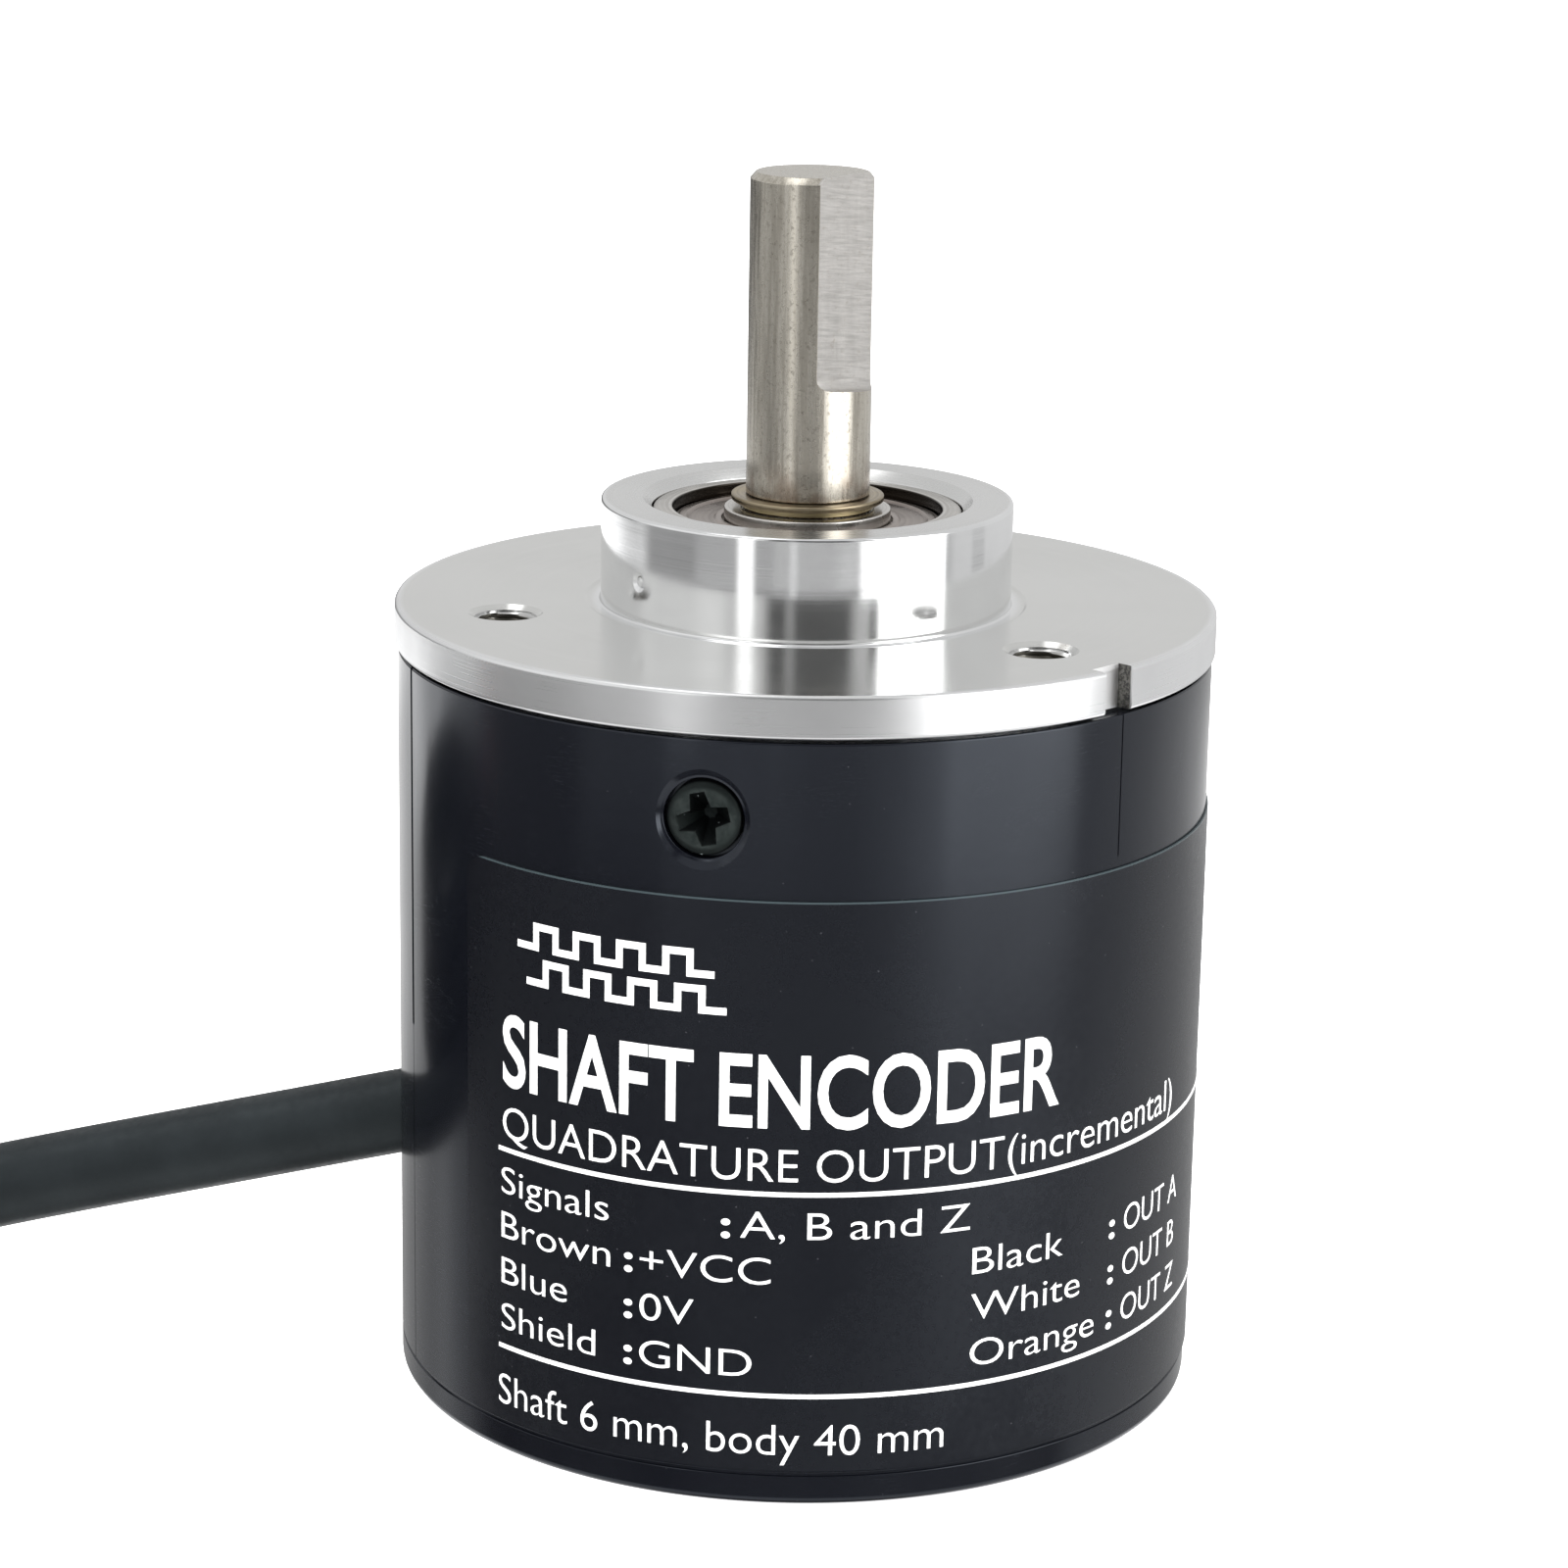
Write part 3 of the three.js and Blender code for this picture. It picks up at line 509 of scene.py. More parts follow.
def white_print():
    """The ink of the label: white, a little uneven."""
    f = Finish("white_print", (0.86, 0.86, 0.86), 0.0, 0.45)
    ink = f.noise(f.stretched(2.5, 2.5, 2.5), 1, 4)
    f.set("Base Color", f.mix(f.fit(ink, 0.35, 0.65), (0.78, 0.78, 0.79), (0.9, 0.9, 0.89)))
    f.bump(ink, 0.002, 0.5)
    return f.material


def streaked_steel():
    """The shaft: warm ground steel, with streaks along it, a milled, paler flat and a painted brown
    reflection of the clip near its base.
    """
    f = Finish("streaked_steel", (0.56, 0.52, 0.465), 1.0, 0.24)
    z = f.axes()[2]
    depth, beside = axes_towards(f, FLAT_AZIMUTH)
    cut = f.product(f.fit(depth, FLAT_DISTANCE - 0.1, FLAT_DISTANCE - 0.05),
                    f.fit(f.radius(), SHAFT_RADIUS - 0.035, SHAFT_RADIUS - 0.015, 1, 0))
    flat = f.product(cut, f.fit(z, FLAT_BOTTOM - 0.5, FLAT_BOTTOM - 0.4))
    streaks = f.noise(f.stretched(4.5, 4.5, 0.22), 1, 5, 0.65)
    pits = f.noise(f.stretched(5.5, 5.5, 4.5), 1, 4, 0.7)
    level = f.product(f.sum(z, f.product(beside, 0.13)), 6.5)
    milled = f.node("CombineXYZ", f.product(beside, 0.45), 0.0, level).outputs[0]
    milled = f.noise(milled, 1, 5, 0.7)
    blotch = f.noise(f.stretched(0.45, 0.45, 0.35), 1, 3)
    # Painted reflection: brown blotches just above the boss, where the shaft mirrors the brownish clip ring,
    # fading upwards.
    ring_reflection = f.product(f.fit(z, BOSS_TOP + 0.6, BOSS_TOP + 2.8, 1, 0), f.fit(blotch, 0.4, 0.62))
    warm = f.mix(f.fit(streaks, 0.3, 0.7), (0.45, 0.42, 0.36), (0.64, 0.605, 0.535))
    warm = f.mix(f.product(f.fit(pits, 0.52, 0.66), 0.5), warm, (0.3, 0.27, 0.23))
    warm = f.mix(f.product(ring_reflection, 0.7), warm, (0.22, 0.155, 0.11))
    speckled = f.fit(f.noise(f.stretched(2.4, 2.4, 4.4), 1, 5, 0.75), 0.56, 0.68)
    pale = f.mix(f.fit(milled, 0.3, 0.7), (0.47, 0.455, 0.435), (0.68, 0.66, 0.635))
    pale = f.mix(f.product(speckled, 0.45), pale, (0.4, 0.35, 0.3))
    f.set("Base Color", f.mix(flat, warm, pale))
    ground = f.fit(streaks, 0.3, 0.7, 0.17, 0.3)
    rough = f.sum(ground, f.product(flat, 0.22))
    f.set("Roughness", f.sum(rough, f.product(f.fit(pits, 0.5, 0.7), 0.12)))
    soft = f.math("SUBTRACT", 1.0, flat)
    height = f.sum(f.product(f.sum(streaks, f.product(pits, 0.6)), soft), f.product(milled, flat, 2.2))
    f.bump(height, 0.005, 0.7)
    return f.material


def ringed_metal(name, dark, light, roughness, across=4, depth=0.004, shaded_gap=None):
    """A turned or pressed metal with rings round Z. A wall between two given radii is painted near black as
    shade in a gap.
    """
    f = Finish(name, light, 1.0, roughness)
    rings = f.noise(f.rings(across, across), 1.5, 5, 0.7)
    patch = f.noise(f.stretched(0.5, 0.5, 0.5), 1, 4)
    blend = f.sum(f.product(rings, 0.6), f.product(patch, 0.4))
    tint = f.mix(f.fit(blend, 0.38, 0.62), dark, light)
    # Painted shade: the wall between the two radii, in the gap beside the shield, is near black. The film
    # mask here is that shade.
    if shaded_gap:
        inner, outer = shaded_gap
        film = f.between(f.radius(), inner - 0.05, inner, outer, outer + 0.03)
        tint = f.mix(film, tint, (0.03, 0.025, 0.02))
    f.set("Base Color", tint)
    f.set("Roughness", f.fit(patch, 0.3, 0.7, roughness - 0.05, roughness + 0.1))
    f.bump(rings, depth, 0.8)
    return f.material


def grained(name, dark, light, roughness, size=2.0, depth=0.01, metallic=0.0, **sockets):
    """A plain moulded or coated surface with a fine grain."""
    f = Finish(name, light, metallic, roughness, **sockets)
    grain = f.noise(f.stretched(size, size, size), 1, 4, 0.6)
    cloud = f.noise(f.stretched(0.2, 0.2, 0.2), 1, 3)
    f.set("Base Color", f.mix(f.fit(cloud, 0.3, 0.7), dark, light))
    f.set("Roughness", f.fit(grain, 0.3, 0.7, roughness - 0.06, roughness + 0.08))
    f.bump(grain, depth, 0.6)
    return f.material


def screw_black():
    """Blacked steel: a mottled head top, with the recess and the rest painted darker than it as shade, and a
    little dust there.
    """
    f = Finish("black_screw", (0.006, 0.007, 0.007), 0.0, 0.5, IOR=1.4, Specular_Tint=(0.8, 1, 0.96, 1))
    mottle = f.noise(f.stretched(1.8, 1.8, 1.8), 1, 4, 0.65)
    head = f.fit(f.radius(), SCREW_HEAD_TOP - 0.12, SCREW_HEAD_TOP - 0.04)
    dust = f.product(f.specks(f.position(), 1.9, 0.13), f.math("SUBTRACT", 1.0, head))
    face = f.mix(f.fit(mottle, 0.35, 0.65), (0.004, 0.005, 0.005), (0.012, 0.014, 0.0135))
    # Painted shade: the cross recess, the head's rounded edge and all below are near black. Only the top of
    # the head keeps the mottled colour.
    tint = f.mix(head, (0.0008, 0.0008, 0.001), face)
    f.set("Base Color", f.mix(f.product(dust, 0.6), tint, (0.3, 0.34, 0.34)))
    f.set("Roughness", f.fit(mottle, 0.3, 0.7, 0.42, 0.6))
    f.bump(mottle, 0.02, 0.6)
    return f.material


def braid():
    """The twisted shield wire: bright strands that run round it."""
    f = Finish("shield_braid", (0.55, 0.55, 0.54), 1.0, 0.32)
    x, y, z = f.axes()
    wave = f.math("SINE", f.product(f.sum(x, y, f.product(z, 1.6)), 11))
    f.set("Base Color", f.mix(f.fit(wave, -1, 1), (0.28, 0.27, 0.26), (0.68, 0.68, 0.66)))
    f.bump(wave, 0.08, 0.7)
    return f.material


def board_green():
    """Solder mask with pale tracks and pads under it."""
    f = Finish("circuit_board", (0.02, 0.11, 0.045), 0.0, 0.38)
    tracks = f.node("TexBrick")
    f.feed(tracks.inputs["Vector"], f.stretched(0.16, 0.16, 0.16))
    tracks.inputs["Scale"].default_value = 3
    tracks.inputs["Mortar Size"].default_value = 0.035
    line = f.math("SUBTRACT", 1.0, f.fit(tracks.outputs["Fac"], 0, 1))
    f.set("Base Color", f.mix(f.product(line, 0.6), (0.05, 0.22, 0.09), (0.015, 0.095, 0.04)))
    f.bump(line, 0.03, 0.5)
    return f.material


def coded_glass():
    """The code disc: clear glass with a ring of fine dark lines near its edge."""
    f = Finish("code_glass", (0.75, 0.82, 0.84), 0.0, 0.08, Transmission_Weight=0.6, IOR=1.5)
    x, y, _ = f.axes()
    track = f.between(f.radius(), 11.1, 11.2, 13.2, 13.3)
    angle = f.math("ARCTAN2", y, x)
    lines = f.math("GREATER_THAN", f.math("SINE", f.product(angle, DISC_LINES)), 0.0)
    dark = f.product(track, lines)
    f.set("Base Color", f.mix(dark, (0.75, 0.82, 0.84), (0.03, 0.03, 0.035)))
    f.set("Roughness", f.fit(dark, 0, 1, 0.06, 0.35))
    return f.material


def make_materials():
    """One material for each slot of the record, and one for the print."""
    made = {
        "cast_aluminium": turned_aluminium(),
        "cover_plastic": glossy_black(),
        "label_film": film_black(),
        "print": white_print(),
        "black_screw": screw_black(),
        # The outer ring's wall in the gap beside the shield carries painted shade.
        "bearing_steel": ringed_metal("bearing_steel", (0.4, 0.38, 0.35), (0.66, 0.64, 0.61), 0.2,
                                      shaded_gap=(6.5, 6.57)),
        "shield_steel": ringed_metal("shield_steel", (0.25, 0.21, 0.19), (0.42, 0.375, 0.345), 0.26, 3),
        "shaft_steel": streaked_steel(),
        "spring_steel": ringed_metal("spring_steel", (0.24, 0.19, 0.12), (0.46, 0.39, 0.27), 0.3, 6),
        # Brass is darkened as painted shade, so that the shim under the clip reads as shadowed.
        "brass": ringed_metal("brass", (0.3, 0.24, 0.13), (0.5, 0.42, 0.25), 0.28, 6),
        "code_glass": coded_glass(),
        "circuit_board": board_green(),
        "chip_plastic": grained("chip_plastic", (0.014, 0.014, 0.015), (0.024, 0.024, 0.025), 0.5, 4),
        "led_plastic": grained("led_plastic", (0.2, 0.34, 0.5), (0.32, 0.46, 0.6), 0.16, 2, 0.004,
                               Transmission_Weight=0.4),
        "connector_nylon": grained("connector_nylon", (0.68, 0.66, 0.58), (0.78, 0.76, 0.69), 0.48, 3),
        "black_rubber": grained("black_rubber", (0.008, 0.008, 0.009), (0.016, 0.016, 0.017), 0.58, 3, 0.02),
        "cable_jacket": grained("cable_jacket", (0.006, 0.0075, 0.0085), (0.009, 0.0112, 0.0125), 0.46, 2.2,
                                0.012, IOR=1.38, Specular_Tint=(0.86, 0.96, 1, 1)),
        "shield_braid": braid(),
    }
    for name, (color, *_) in LEADS.items():
        if name not in made and name != "lead_shield":
            darker = tuple(value * 0.8 for value in color)
            made[name] = grained(name, darker, color, 0.38, 3, 0.008)
    made["tinned_copper"] = ringed_metal("tinned_copper", (0.5, 0.48, 0.45), (0.72, 0.7, 0.67), 0.3, 8)
    return made


MATERIALS = make_materials()

SLOT_OF_NODE = {
    "preload_washer": "spring_steel", "bearing_spacer": "shaft_steel", "disc_hub": "cast_aluminium",
    "hub_set_screw": "black_screw", "code_disc": "code_glass", "disc_clamp": "brass",
    "main_board": "circuit_board", "led_holder": "chip_plastic", "led_emitter": "led_plastic",
    "photo_sensor": "chip_plastic", "reticle_plate": "code_glass", "board_connector": "connector_nylon",
    "inner_leads": "connector_nylon", "front_bearing_rear_shield": "shield_steel",
    "rear_bearing_front_shield": "shield_steel", "rear_bearing_rear_shield": "shield_steel",
    "front_bearing_cage": "brass", "rear_bearing_cage": "brass",
}


def finish_cad_nodes():
    """Every node that stays gets the material of its slot. Steel is the rest: balls, rings, screws."""
    for name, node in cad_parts.items():
        material = MATERIALS[SLOT_OF_NODE.get(name, "bearing_steel")]
        for slot in node.material_slots:
            slot.material = material


# ---------------------------------------------------------------- flange and boss

def thread_tool(inner, outer, pitch, bottom, top):
    """A threaded rod: its radius goes from inner to outer and back once in each pitch."""
    sides = 64
    levels = round((top - bottom) / pitch * 8)
    vertices = []
    for level in range(levels + 1):
        z = bottom + (top - bottom) * level / levels
        for i in range(sides):
            phase = (z / pitch - i / sides) % 1
            vertices.append(polar(inner + (outer - inner) * (1 - abs(2 * phase - 1)), 360 * i / sides, z))
    faces = [list(range(sides)), list(range(levels * sides, (levels + 1) * sides))]
    for level in range(levels):
        low = level * sides
        for i in range(sides):
            j = (i + 1) % sides
            faces.append((low + i, low + j, low + sides + j, low + sides + i))
    return mesh_object("tool", vertices, faces)


def rod(radius, start, end, sides=48):
    """A rod along Z, to cut or join with."""
    return lathe("tool", [(0, start), (radius, start), (radius, end), (0, end)], sides)


def flange_profile():
    """The outline that the flange and the boss are turned to, as (radius, z) points."""
    return filleted([
        (BEARING_BORE, 38.5, 0), (BEARING_BORE, 43.5, 0.08), (8.02, BOSS_TOP, 0.08),
        (BOSS_RADIUS, BOSS_TOP, 0.16), (BOSS_RADIUS, 38.9, 0.14), (10.62, 38.9, 0.1),
        (10.78, FLANGE_TOP, 0.1), (FLANGE_RADIUS, FLANGE_TOP, 0.2),
        (FLANGE_RADIUS, FLANGE_BOTTOM, 0.2), (18.4, FLANGE_BOTTOM, 0),
        (18.4, 31, 0.2), (9.3, 31, 0), (9.3, 28.6, 0.2), (BEARING_BORE, 28.6, 0),
        (BEARING_BORE, 36.1, 0), (6.7, 36.1, 0), (6.7, 38.5, 0),
    ])


def mount_holes():
    """Tools for the three tapped holes, each with a sink at its mouth."""
    tools = []
    for azimuth in MOUNT_AZIMUTHS:
        place = Matrix.Translation(polar(MOUNT_CIRCLE, azimuth))
        sink = lathe("tool", [(0, 38.7), (1.5, 38.7), (1.5, 38.78), (1.8, 39.01), (1.8, 40), (0, 40)], 96)
        tools += [moved(thread_tool(1.25, 1.5, 0.5, 33, 39.5), place), moved(sink, place)]
    return tools


def screw_holes():
    """Tools for the cover's screws and, in the foot of each post, for a screw of the board."""
    tools = []
    for azimuth in SCREW_AZIMUTHS:
        tools.append(moved(moved(rod(SCREW_BORE, 13.5, 20), outward(SCREW_Z)), turn(azimuth)))
        tools.append(moved(rod(1.1, 18, 23, 32), Matrix.Translation(polar(POST_CIRCLE, azimuth))))
    return tools


def flange_casting():
    """The housing: flange, boss and three posts, with its holes, the notch and a small dimple."""
    body = lathe("flange_casting", flange_profile())
    posts = [moved(rod(1.8, 19.05, 32), Matrix.Translation(polar(POST_CIRCLE, azimuth)))
             for azimuth in SCREW_AZIMUTHS]
    combine(body, posts, "UNION")
    notch = block((FLANGE_RADIUS - NOTCH_DEPTH, -NOTCH_WIDTH / 2, 36), (21, NOTCH_WIDTH / 2, 40))
    dimple = lathe("tool", filleted([(0, 9.86, 0), (0.3, 9.88, 0.1), (0.6, 10.06, 0), (0, 10.2, 0)]), 40)
    tools = [moved(notch, turn(NOTCH_AZIMUTH)), moved(dimple, turn(DIMPLE_AZIMUTH) @ outward(DIMPLE_Z))]
    combine(body, mount_holes() + screw_holes() + tools)
    piece(body, "housing", "cast_aluminium", "flange_housing", wall=BOSS_RADIUS)
    round_normals(body, FLANGE_RADIUS)


# ---------------------------------------------------------------- cover, screws and label

def along_exit(obj):
    """A piece built along +Z, laid along the cable where it leaves the cover."""
    tilt = Matrix.Rotation(math.radians(-90 - CABLE_SLOPE), 4, "Y")
    return moved(obj, Matrix.Translation(CABLE_EXIT) @ tilt)


def cover_shell():
    """The cover: a cup with a groove near its base, seats for its screws, mould seams and a cable hole."""
    inner = COVER_RADIUS - COVER_WALL
    body = lathe("cover_shell", filleted([
        (0, 0, 0), (COVER_RADIUS, 0, 0.4), (COVER_RADIUS, 1.46, 0.04), (19.78, 1.5, 0), (19.78, 1.62, 0),
        (COVER_RADIUS, 1.66, 0.04), (COVER_RADIUS, COVER_TOP, 0.1), (inner, COVER_TOP, 0),
        (inner, 1.8, 0.3), (0, 1.8, 0),
    ]))
    tools = []
    for azimuth in SCREW_AZIMUTHS:
        seat = lathe("tool", filleted([
            (0, SCREW_SEAT - 0.05, 0), (1.88, SCREW_SEAT - 0.05, 0), (1.88, 19.55, 0.06),
            (2.02, 19.6, 0.12), (2.36, 19.86, 0), (2.36, 20.3, 0), (0, 20.3, 0),
        ]), 96)
        bore = moved(rod(SCREW_BORE, 17, 20), outward(SCREW_Z))
        tools += [moved(seat, turn(azimuth) @ outward(SCREW_Z)), moved(bore, turn(azimuth))]
    for azimuth, bottom, width in SEAMS:
        tools.append(moved(block((19.74, -width / 2, bottom), (20.5, width / 2, 37)), turn(azimuth)))
    tools.append(along_exit(lathe("tool", filleted([
        (0, -4, 0), (2.22, -4, 0), (2.22, 0.3, 0.3), (3.4, 1.4, 0), (3.4, 3, 0), (0, 3, 0),
    ]), 96)))
    combine(body, tools)
    piece(body, "housing", "cover_plastic", "rear_cover", wall=COVER_RADIUS)


def cross_tool(top):
    """A cross recess: an outline of four arms that narrows as it goes down."""
    levels = ((top + 0.3, 1.36), (top - 0.05, 1.24), (top - 0.75, 0.8), (top - 1.45, 0.3))
    vertices, faces = [], []
    for z, reach in levels:
        half = 0.08 + 0.27 * reach
        inside = half * 1.18
        for quarter in range(4):
            for x, y in ((reach, -half * 0.85), (reach, half * 0.85), (inside, inside)):
                vertices.append(turn(90 * quarter + 14) @ Vector((x, y, z)))
    for level in range(len(levels) - 1):
        low = 12 * level
        faces += [(low + i, low + (i + 1) % 12, low + 12 + (i + 1) % 12, low + 12 + i) for i in range(12)]
    faces += [tuple(range(12)), tuple(range(len(vertices) - 12, len(vertices)))]
    return mesh_object("tool", vertices, faces)


def phillips_screw(index, azimuth):
    """A pan-head screw with nine ridges of thread, pointing at the axis."""
    top = SCREW_HEAD_TOP
    ridges = []
    for turn_index in range(9):
        x = 14.3 + 0.5 * turn_index
        ridges += [(0.82, x), (1.0, x + 0.25)]
    profile = [(0, 14), (0.6, 14), *ridges, (0.9, SCREW_SEAT), *filleted([
        (1.75, SCREW_SEAT, 0.1), (1.75, top - 0.22, 0.18), (1.2, top, 0.5), (0, top, 0),
    ])[:-1], (0, top)]
    body = lathe(f"cover_screw_black_{index}", profile, 96)
    combine(body, [cross_tool(top)])
    bevelled(body, 0.04)
    moved(body, turn(azimuth) @ outward(SCREW_Z))
    piece(body, "housing", "black_screw", f"cover_screw_{index}")


def arc_length(azimuth):
    """The distance round the body in millimetres from the front, -Y."""
    return FLANGE_RADIUS * math.radians(azimuth + 90)


def wrapped(name, work, radius, thickness):
    """Bends a flat mesh of (arc, z) faces round the body, and gives it a thickness outwards."""
    arcs = [vertex.co.x for vertex in work.verts]
    cut_at = min(arcs) + WRAP_STEP
    while cut_at < max(arcs):
        geometry = work.verts[:] + work.edges[:] + work.faces[:]
        bmesh.ops.bisect_plane(work, geom=geometry, dist=1e-5, plane_co=(cut_at, 0, 0), plane_no=(1, 0, 0))
        cut_at += WRAP_STEP
    bmesh.ops.triangulate(work, faces=[face for face in work.faces if len(face.verts) > 4])
    count = len(work.verts)
    rims = [edge for edge in work.edges if edge.is_boundary]
    base = [vertex.co.copy() for vertex in work.verts]
    for index, vertex in enumerate(work.verts):
        vertex.index = index
    vertices = []
    for lift in (0, thickness):
        vertices += [polar(radius + lift, -90 + math.degrees(co.x / FLANGE_RADIUS), co.y) for co in base]
    flat = [[vertex.index for vertex in face.verts] for face in work.faces]
    faces = [[index + count for index in face] for face in flat] + [face[::-1] for face in flat]
    for edge in rims:
        a, b = (vertex.index for vertex in edge.verts)
        faces.append((a, b, b + count, a + count))
    work.free()
    return mesh_object(name, vertices, faces)


def name_plate():
    """The label: a film with round corners."""
    left, right = arc_length(LABEL_FROM), arc_length(LABEL_TO)
    corner, steps = 1.3, 8
    work = bmesh.new()
    outline = []
    centres = ((right, LABEL_TOP, 0, -1, -1), (left, LABEL_TOP, 90, 1, -1),
               (left, LABEL_BOTTOM, 180, 1, 1), (right, LABEL_BOTTOM, 270, -1, 1))
    for x, z, start, inward_x, inward_z in centres:
        for step in range(steps + 1):
            spot = polar(corner, start + 90 * step / steps)
            outline.append((x + inward_x * corner + spot.x, z + inward_z * corner + spot.y, 0))
    work.faces.new([work.verts.new(point) for point in outline])
    plate = wrapped("name_plate", work, LABEL_RADIUS, LABEL_THICKNESS)
    piece(plate, "housing", "label_film", "name_label")


def text_mesh(text, bold=0.0):
    """A line of text as flat triangles, one em high, from its left edge on the base line."""
    data = bpy.data.curves.new("text", "FONT")
    data.body = text
    data.offset = bold
    data.resolution_u = 5
    obj = bpy.data.objects.new("text", data)
    bpy.context.scene.collection.objects.link(obj)
    evaluated = obj.evaluated_get(bpy.context.evaluated_depsgraph_get())
    mesh = bpy.data.meshes.new_from_object(evaluated)
    bpy.data.objects.remove(obj)
    return mesh


def add_text(work, text, arc, base, height, width=None, bold=-0.008, stretch=1.3):
    """Adds a line of text to a flat mesh: its left end, base line, cap height and width or stretch."""
    mesh = text_mesh(text, bold)
    xs = [vertex.co.x for vertex in mesh.vertices]
    cap = max(vertex.co.y for vertex in text_mesh("H", bold).vertices)
    scale_z = height / cap
    scale_x = width / (max(xs) - min(xs)) if width else scale_z * stretch
    mesh.transform(Matrix.Diagonal((scale_x, scale_z, 1, 1)) @ Matrix.Translation((-min(xs), 0, 0)))
    mesh.transform(Matrix.Translation((arc, base, 0)))
    work.from_mesh(mesh)


def add_bar(work, left, right, low, high):
    """Adds a ruled line to a flat mesh."""
    corners = ((left, low), (right, low), (right, high), (left, high))
    work.faces.new([work.verts.new((x, z, 0)) for x, z in corners])


def add_wave(work, left, low, step, height, width, beats):
    """A square wave as one ribbon of even width."""
    line = []
    for beat in range(beats + 1):
        x = left + beat * step
        level = low + (height if beat % 2 else 0)
        line += [Vector((x, level)), Vector((x + step, level))]
    edges = ([], [])
    for i, point in enumerate(line):
        before = (point - line[max(i - 1, 0)]).normalized() if i else (line[1] - point).normalized()
        after = (line[i + 1] - point).normalized() if i + 1 < len(line) else before
        side = Vector((-before.y - after.y, before.x + after.x)) / (1 + before.dot(after))
        edges[0].append(point + side * width / 2)
        edges[1].append(point - side * width / 2)
    for i in range(len(line) - 1):
        quad = (edges[0][i], edges[1][i], edges[1][i + 1], edges[0][i + 1])
        work.faces.new([work.verts.new((*corner, 0)) for corner in quad])
    bmesh.ops.remove_doubles(work, verts=work.verts, dist=1e-4)


TEXT_LEFT, TEXT_HEIGHT, TITLE_LEFT, RULE_LEFT = -15.3, 1.3, -15.2, -15.5
LEGEND_ROWS = (
    (11.05, "Brown", "+VCC", "Black", "OUT A"),
    (8.75, "Blue", "0V", "White", "OUT B"),
    (6.45, "Shield", "GND", "Orange", "OUT Z"),
)


def add_entry(work, base, *words, stretch=1.3):
    """Adds (arc, word) pairs of the legend on one base line. Colons are bolder than words."""
    for arc, word in words:
        bold = 0.03 if word == ":" else -0.008
        add_text(work, word, arc, base, TEXT_HEIGHT, bold=bold, stretch=stretch)


def legend():
    """The white print: a wave sign, the kind of part and a list of wire colours, all of it generic."""
    work = bmesh.new()
    add_wave(work, -14.2, 25.85, 1.15, 1.0, 0.34, 8)
    add_wave(work, -13.62, 24.15, 1.15, 1.0, 0.34, 8)
    add_text(work, "SHAFT ENCODER", TITLE_LEFT, 18.75, 3.45, 28.3, 0.015)
    add_text(work, "QUADRATURE OUTPUT(incremental)", TITLE_LEFT, 16.1, 1.55, 37.8)
    add_bar(work, RULE_LEFT, arc_length(LABEL_TO) - 1.2, 15.38, 15.6)
    add_entry(work, 13.3, (TEXT_LEFT, "Signals"), (-3.4, ":"), (-2.5, "A, B and Z"))
    for base, left, left_value, right, right_value in LEGEND_ROWS:
        add_entry(work, base, (TEXT_LEFT, left), (-8.1, ":"), (-7.3, left_value), (8.55, right), (16.9, ":"))
        add_entry(work, base, (18.1, right_value), stretch=1)
    add_bar(work, RULE_LEFT, arc_length(LABEL_TO) - 1.2, 5.44, 5.66)
    add_text(work, "Shaft 6 mm, body 40 mm", RULE_LEFT, 2.6, 1.5, 22.8)
    printed = wrapped("label_print", work, PRINT_RADIUS, PRINT_THICKNESS)
    piece(printed, "housing", "label_film", material="print")


# ---------------------------------------------------------------- shaft and front bearing

def shaft_rod():
    """The shaft, with its clip's groove, a milled flat and the round run-out of the cutter."""
    body = lathe("shaft_rod", filleted([
        (0, SHAFT_BOTTOM, 0), (SHAFT_RADIUS, SHAFT_BOTTOM, 0.2), (SHAFT_RADIUS, 43.85, 0),
        (2.72, 43.85, 0), (2.72, 44.25, 0), (SHAFT_RADIUS, 44.25, 0.04),
        (SHAFT_RADIUS, SHAFT_TOP - 0.32, 0.06), (2.72, SHAFT_TOP, 0.06), (0, SHAFT_TOP, 0),
    ]), 192)
    ledge = [polar(RUN_OUT, azimuth) for azimuth in range(180, 271, 10)]
    corner = Vector((FLAT_DISTANCE + RUN_OUT, FLAT_BOTTOM + RUN_OUT, 0))
    outline = [(FLAT_DISTANCE, 64)] + [(corner + point).xy[:] for point in ledge]
    cutter = prism(outline + [(4, FLAT_BOTTOM), (4, 64)], -4, 4)
    middle = Matrix.Translation((0, 0, FLAT_BOTTOM))
    tilt = Matrix.Rotation(math.radians(CUTTER_TILT), 4, "X")
    combine(body, [moved(cutter, turn(FLAT_AZIMUTH) @ middle @ tilt @ middle.inverted())])
    bevelled(body, 0.03, 2, 30)
    piece(body, "shaft_assembly", "shaft_steel", "shaft", wall=SHAFT_RADIUS)


def ball_groove(land, side):
    """The groove of one bearing ring as (radius, z, fillet) points, from its lower edge up."""
    reach = math.acos(abs(land - BALL_CIRCLE_RADIUS) / GROOVE_RADIUS)
    points = []
    for step in range(13):
        angle = reach * (step / 6 - 1)
        radius = BALL_CIRCLE_RADIUS + side * GROOVE_RADIUS * math.cos(angle)
        points.append((radius, GROOVE_RADIUS * math.sin(angle), 0))
    return points


def bearing_race(name, back, face, land, side, body, node):
    """A ring of the front bearing, from its back to its shield's seat, its land and its groove."""
    half, step, corner = RACE_HALF_WIDTH, LAND_HALF_WIDTH, RACE_CORNER
    profile = filleted([
        (back, -half, corner), (face, -half, 0.08), (face, -step, 0), (land, -step, 0),
        *ball_groove(land, side), (land, step, 0), (face, step, 0), (face, half, 0.08), (back, half, corner),
    ])
    race = moved(lathe(name, profile, RING_SIDES), Matrix.Translation((0, 0, FRONT_BEARING_Z)))
    piece(race, body, "bearing_steel", node)


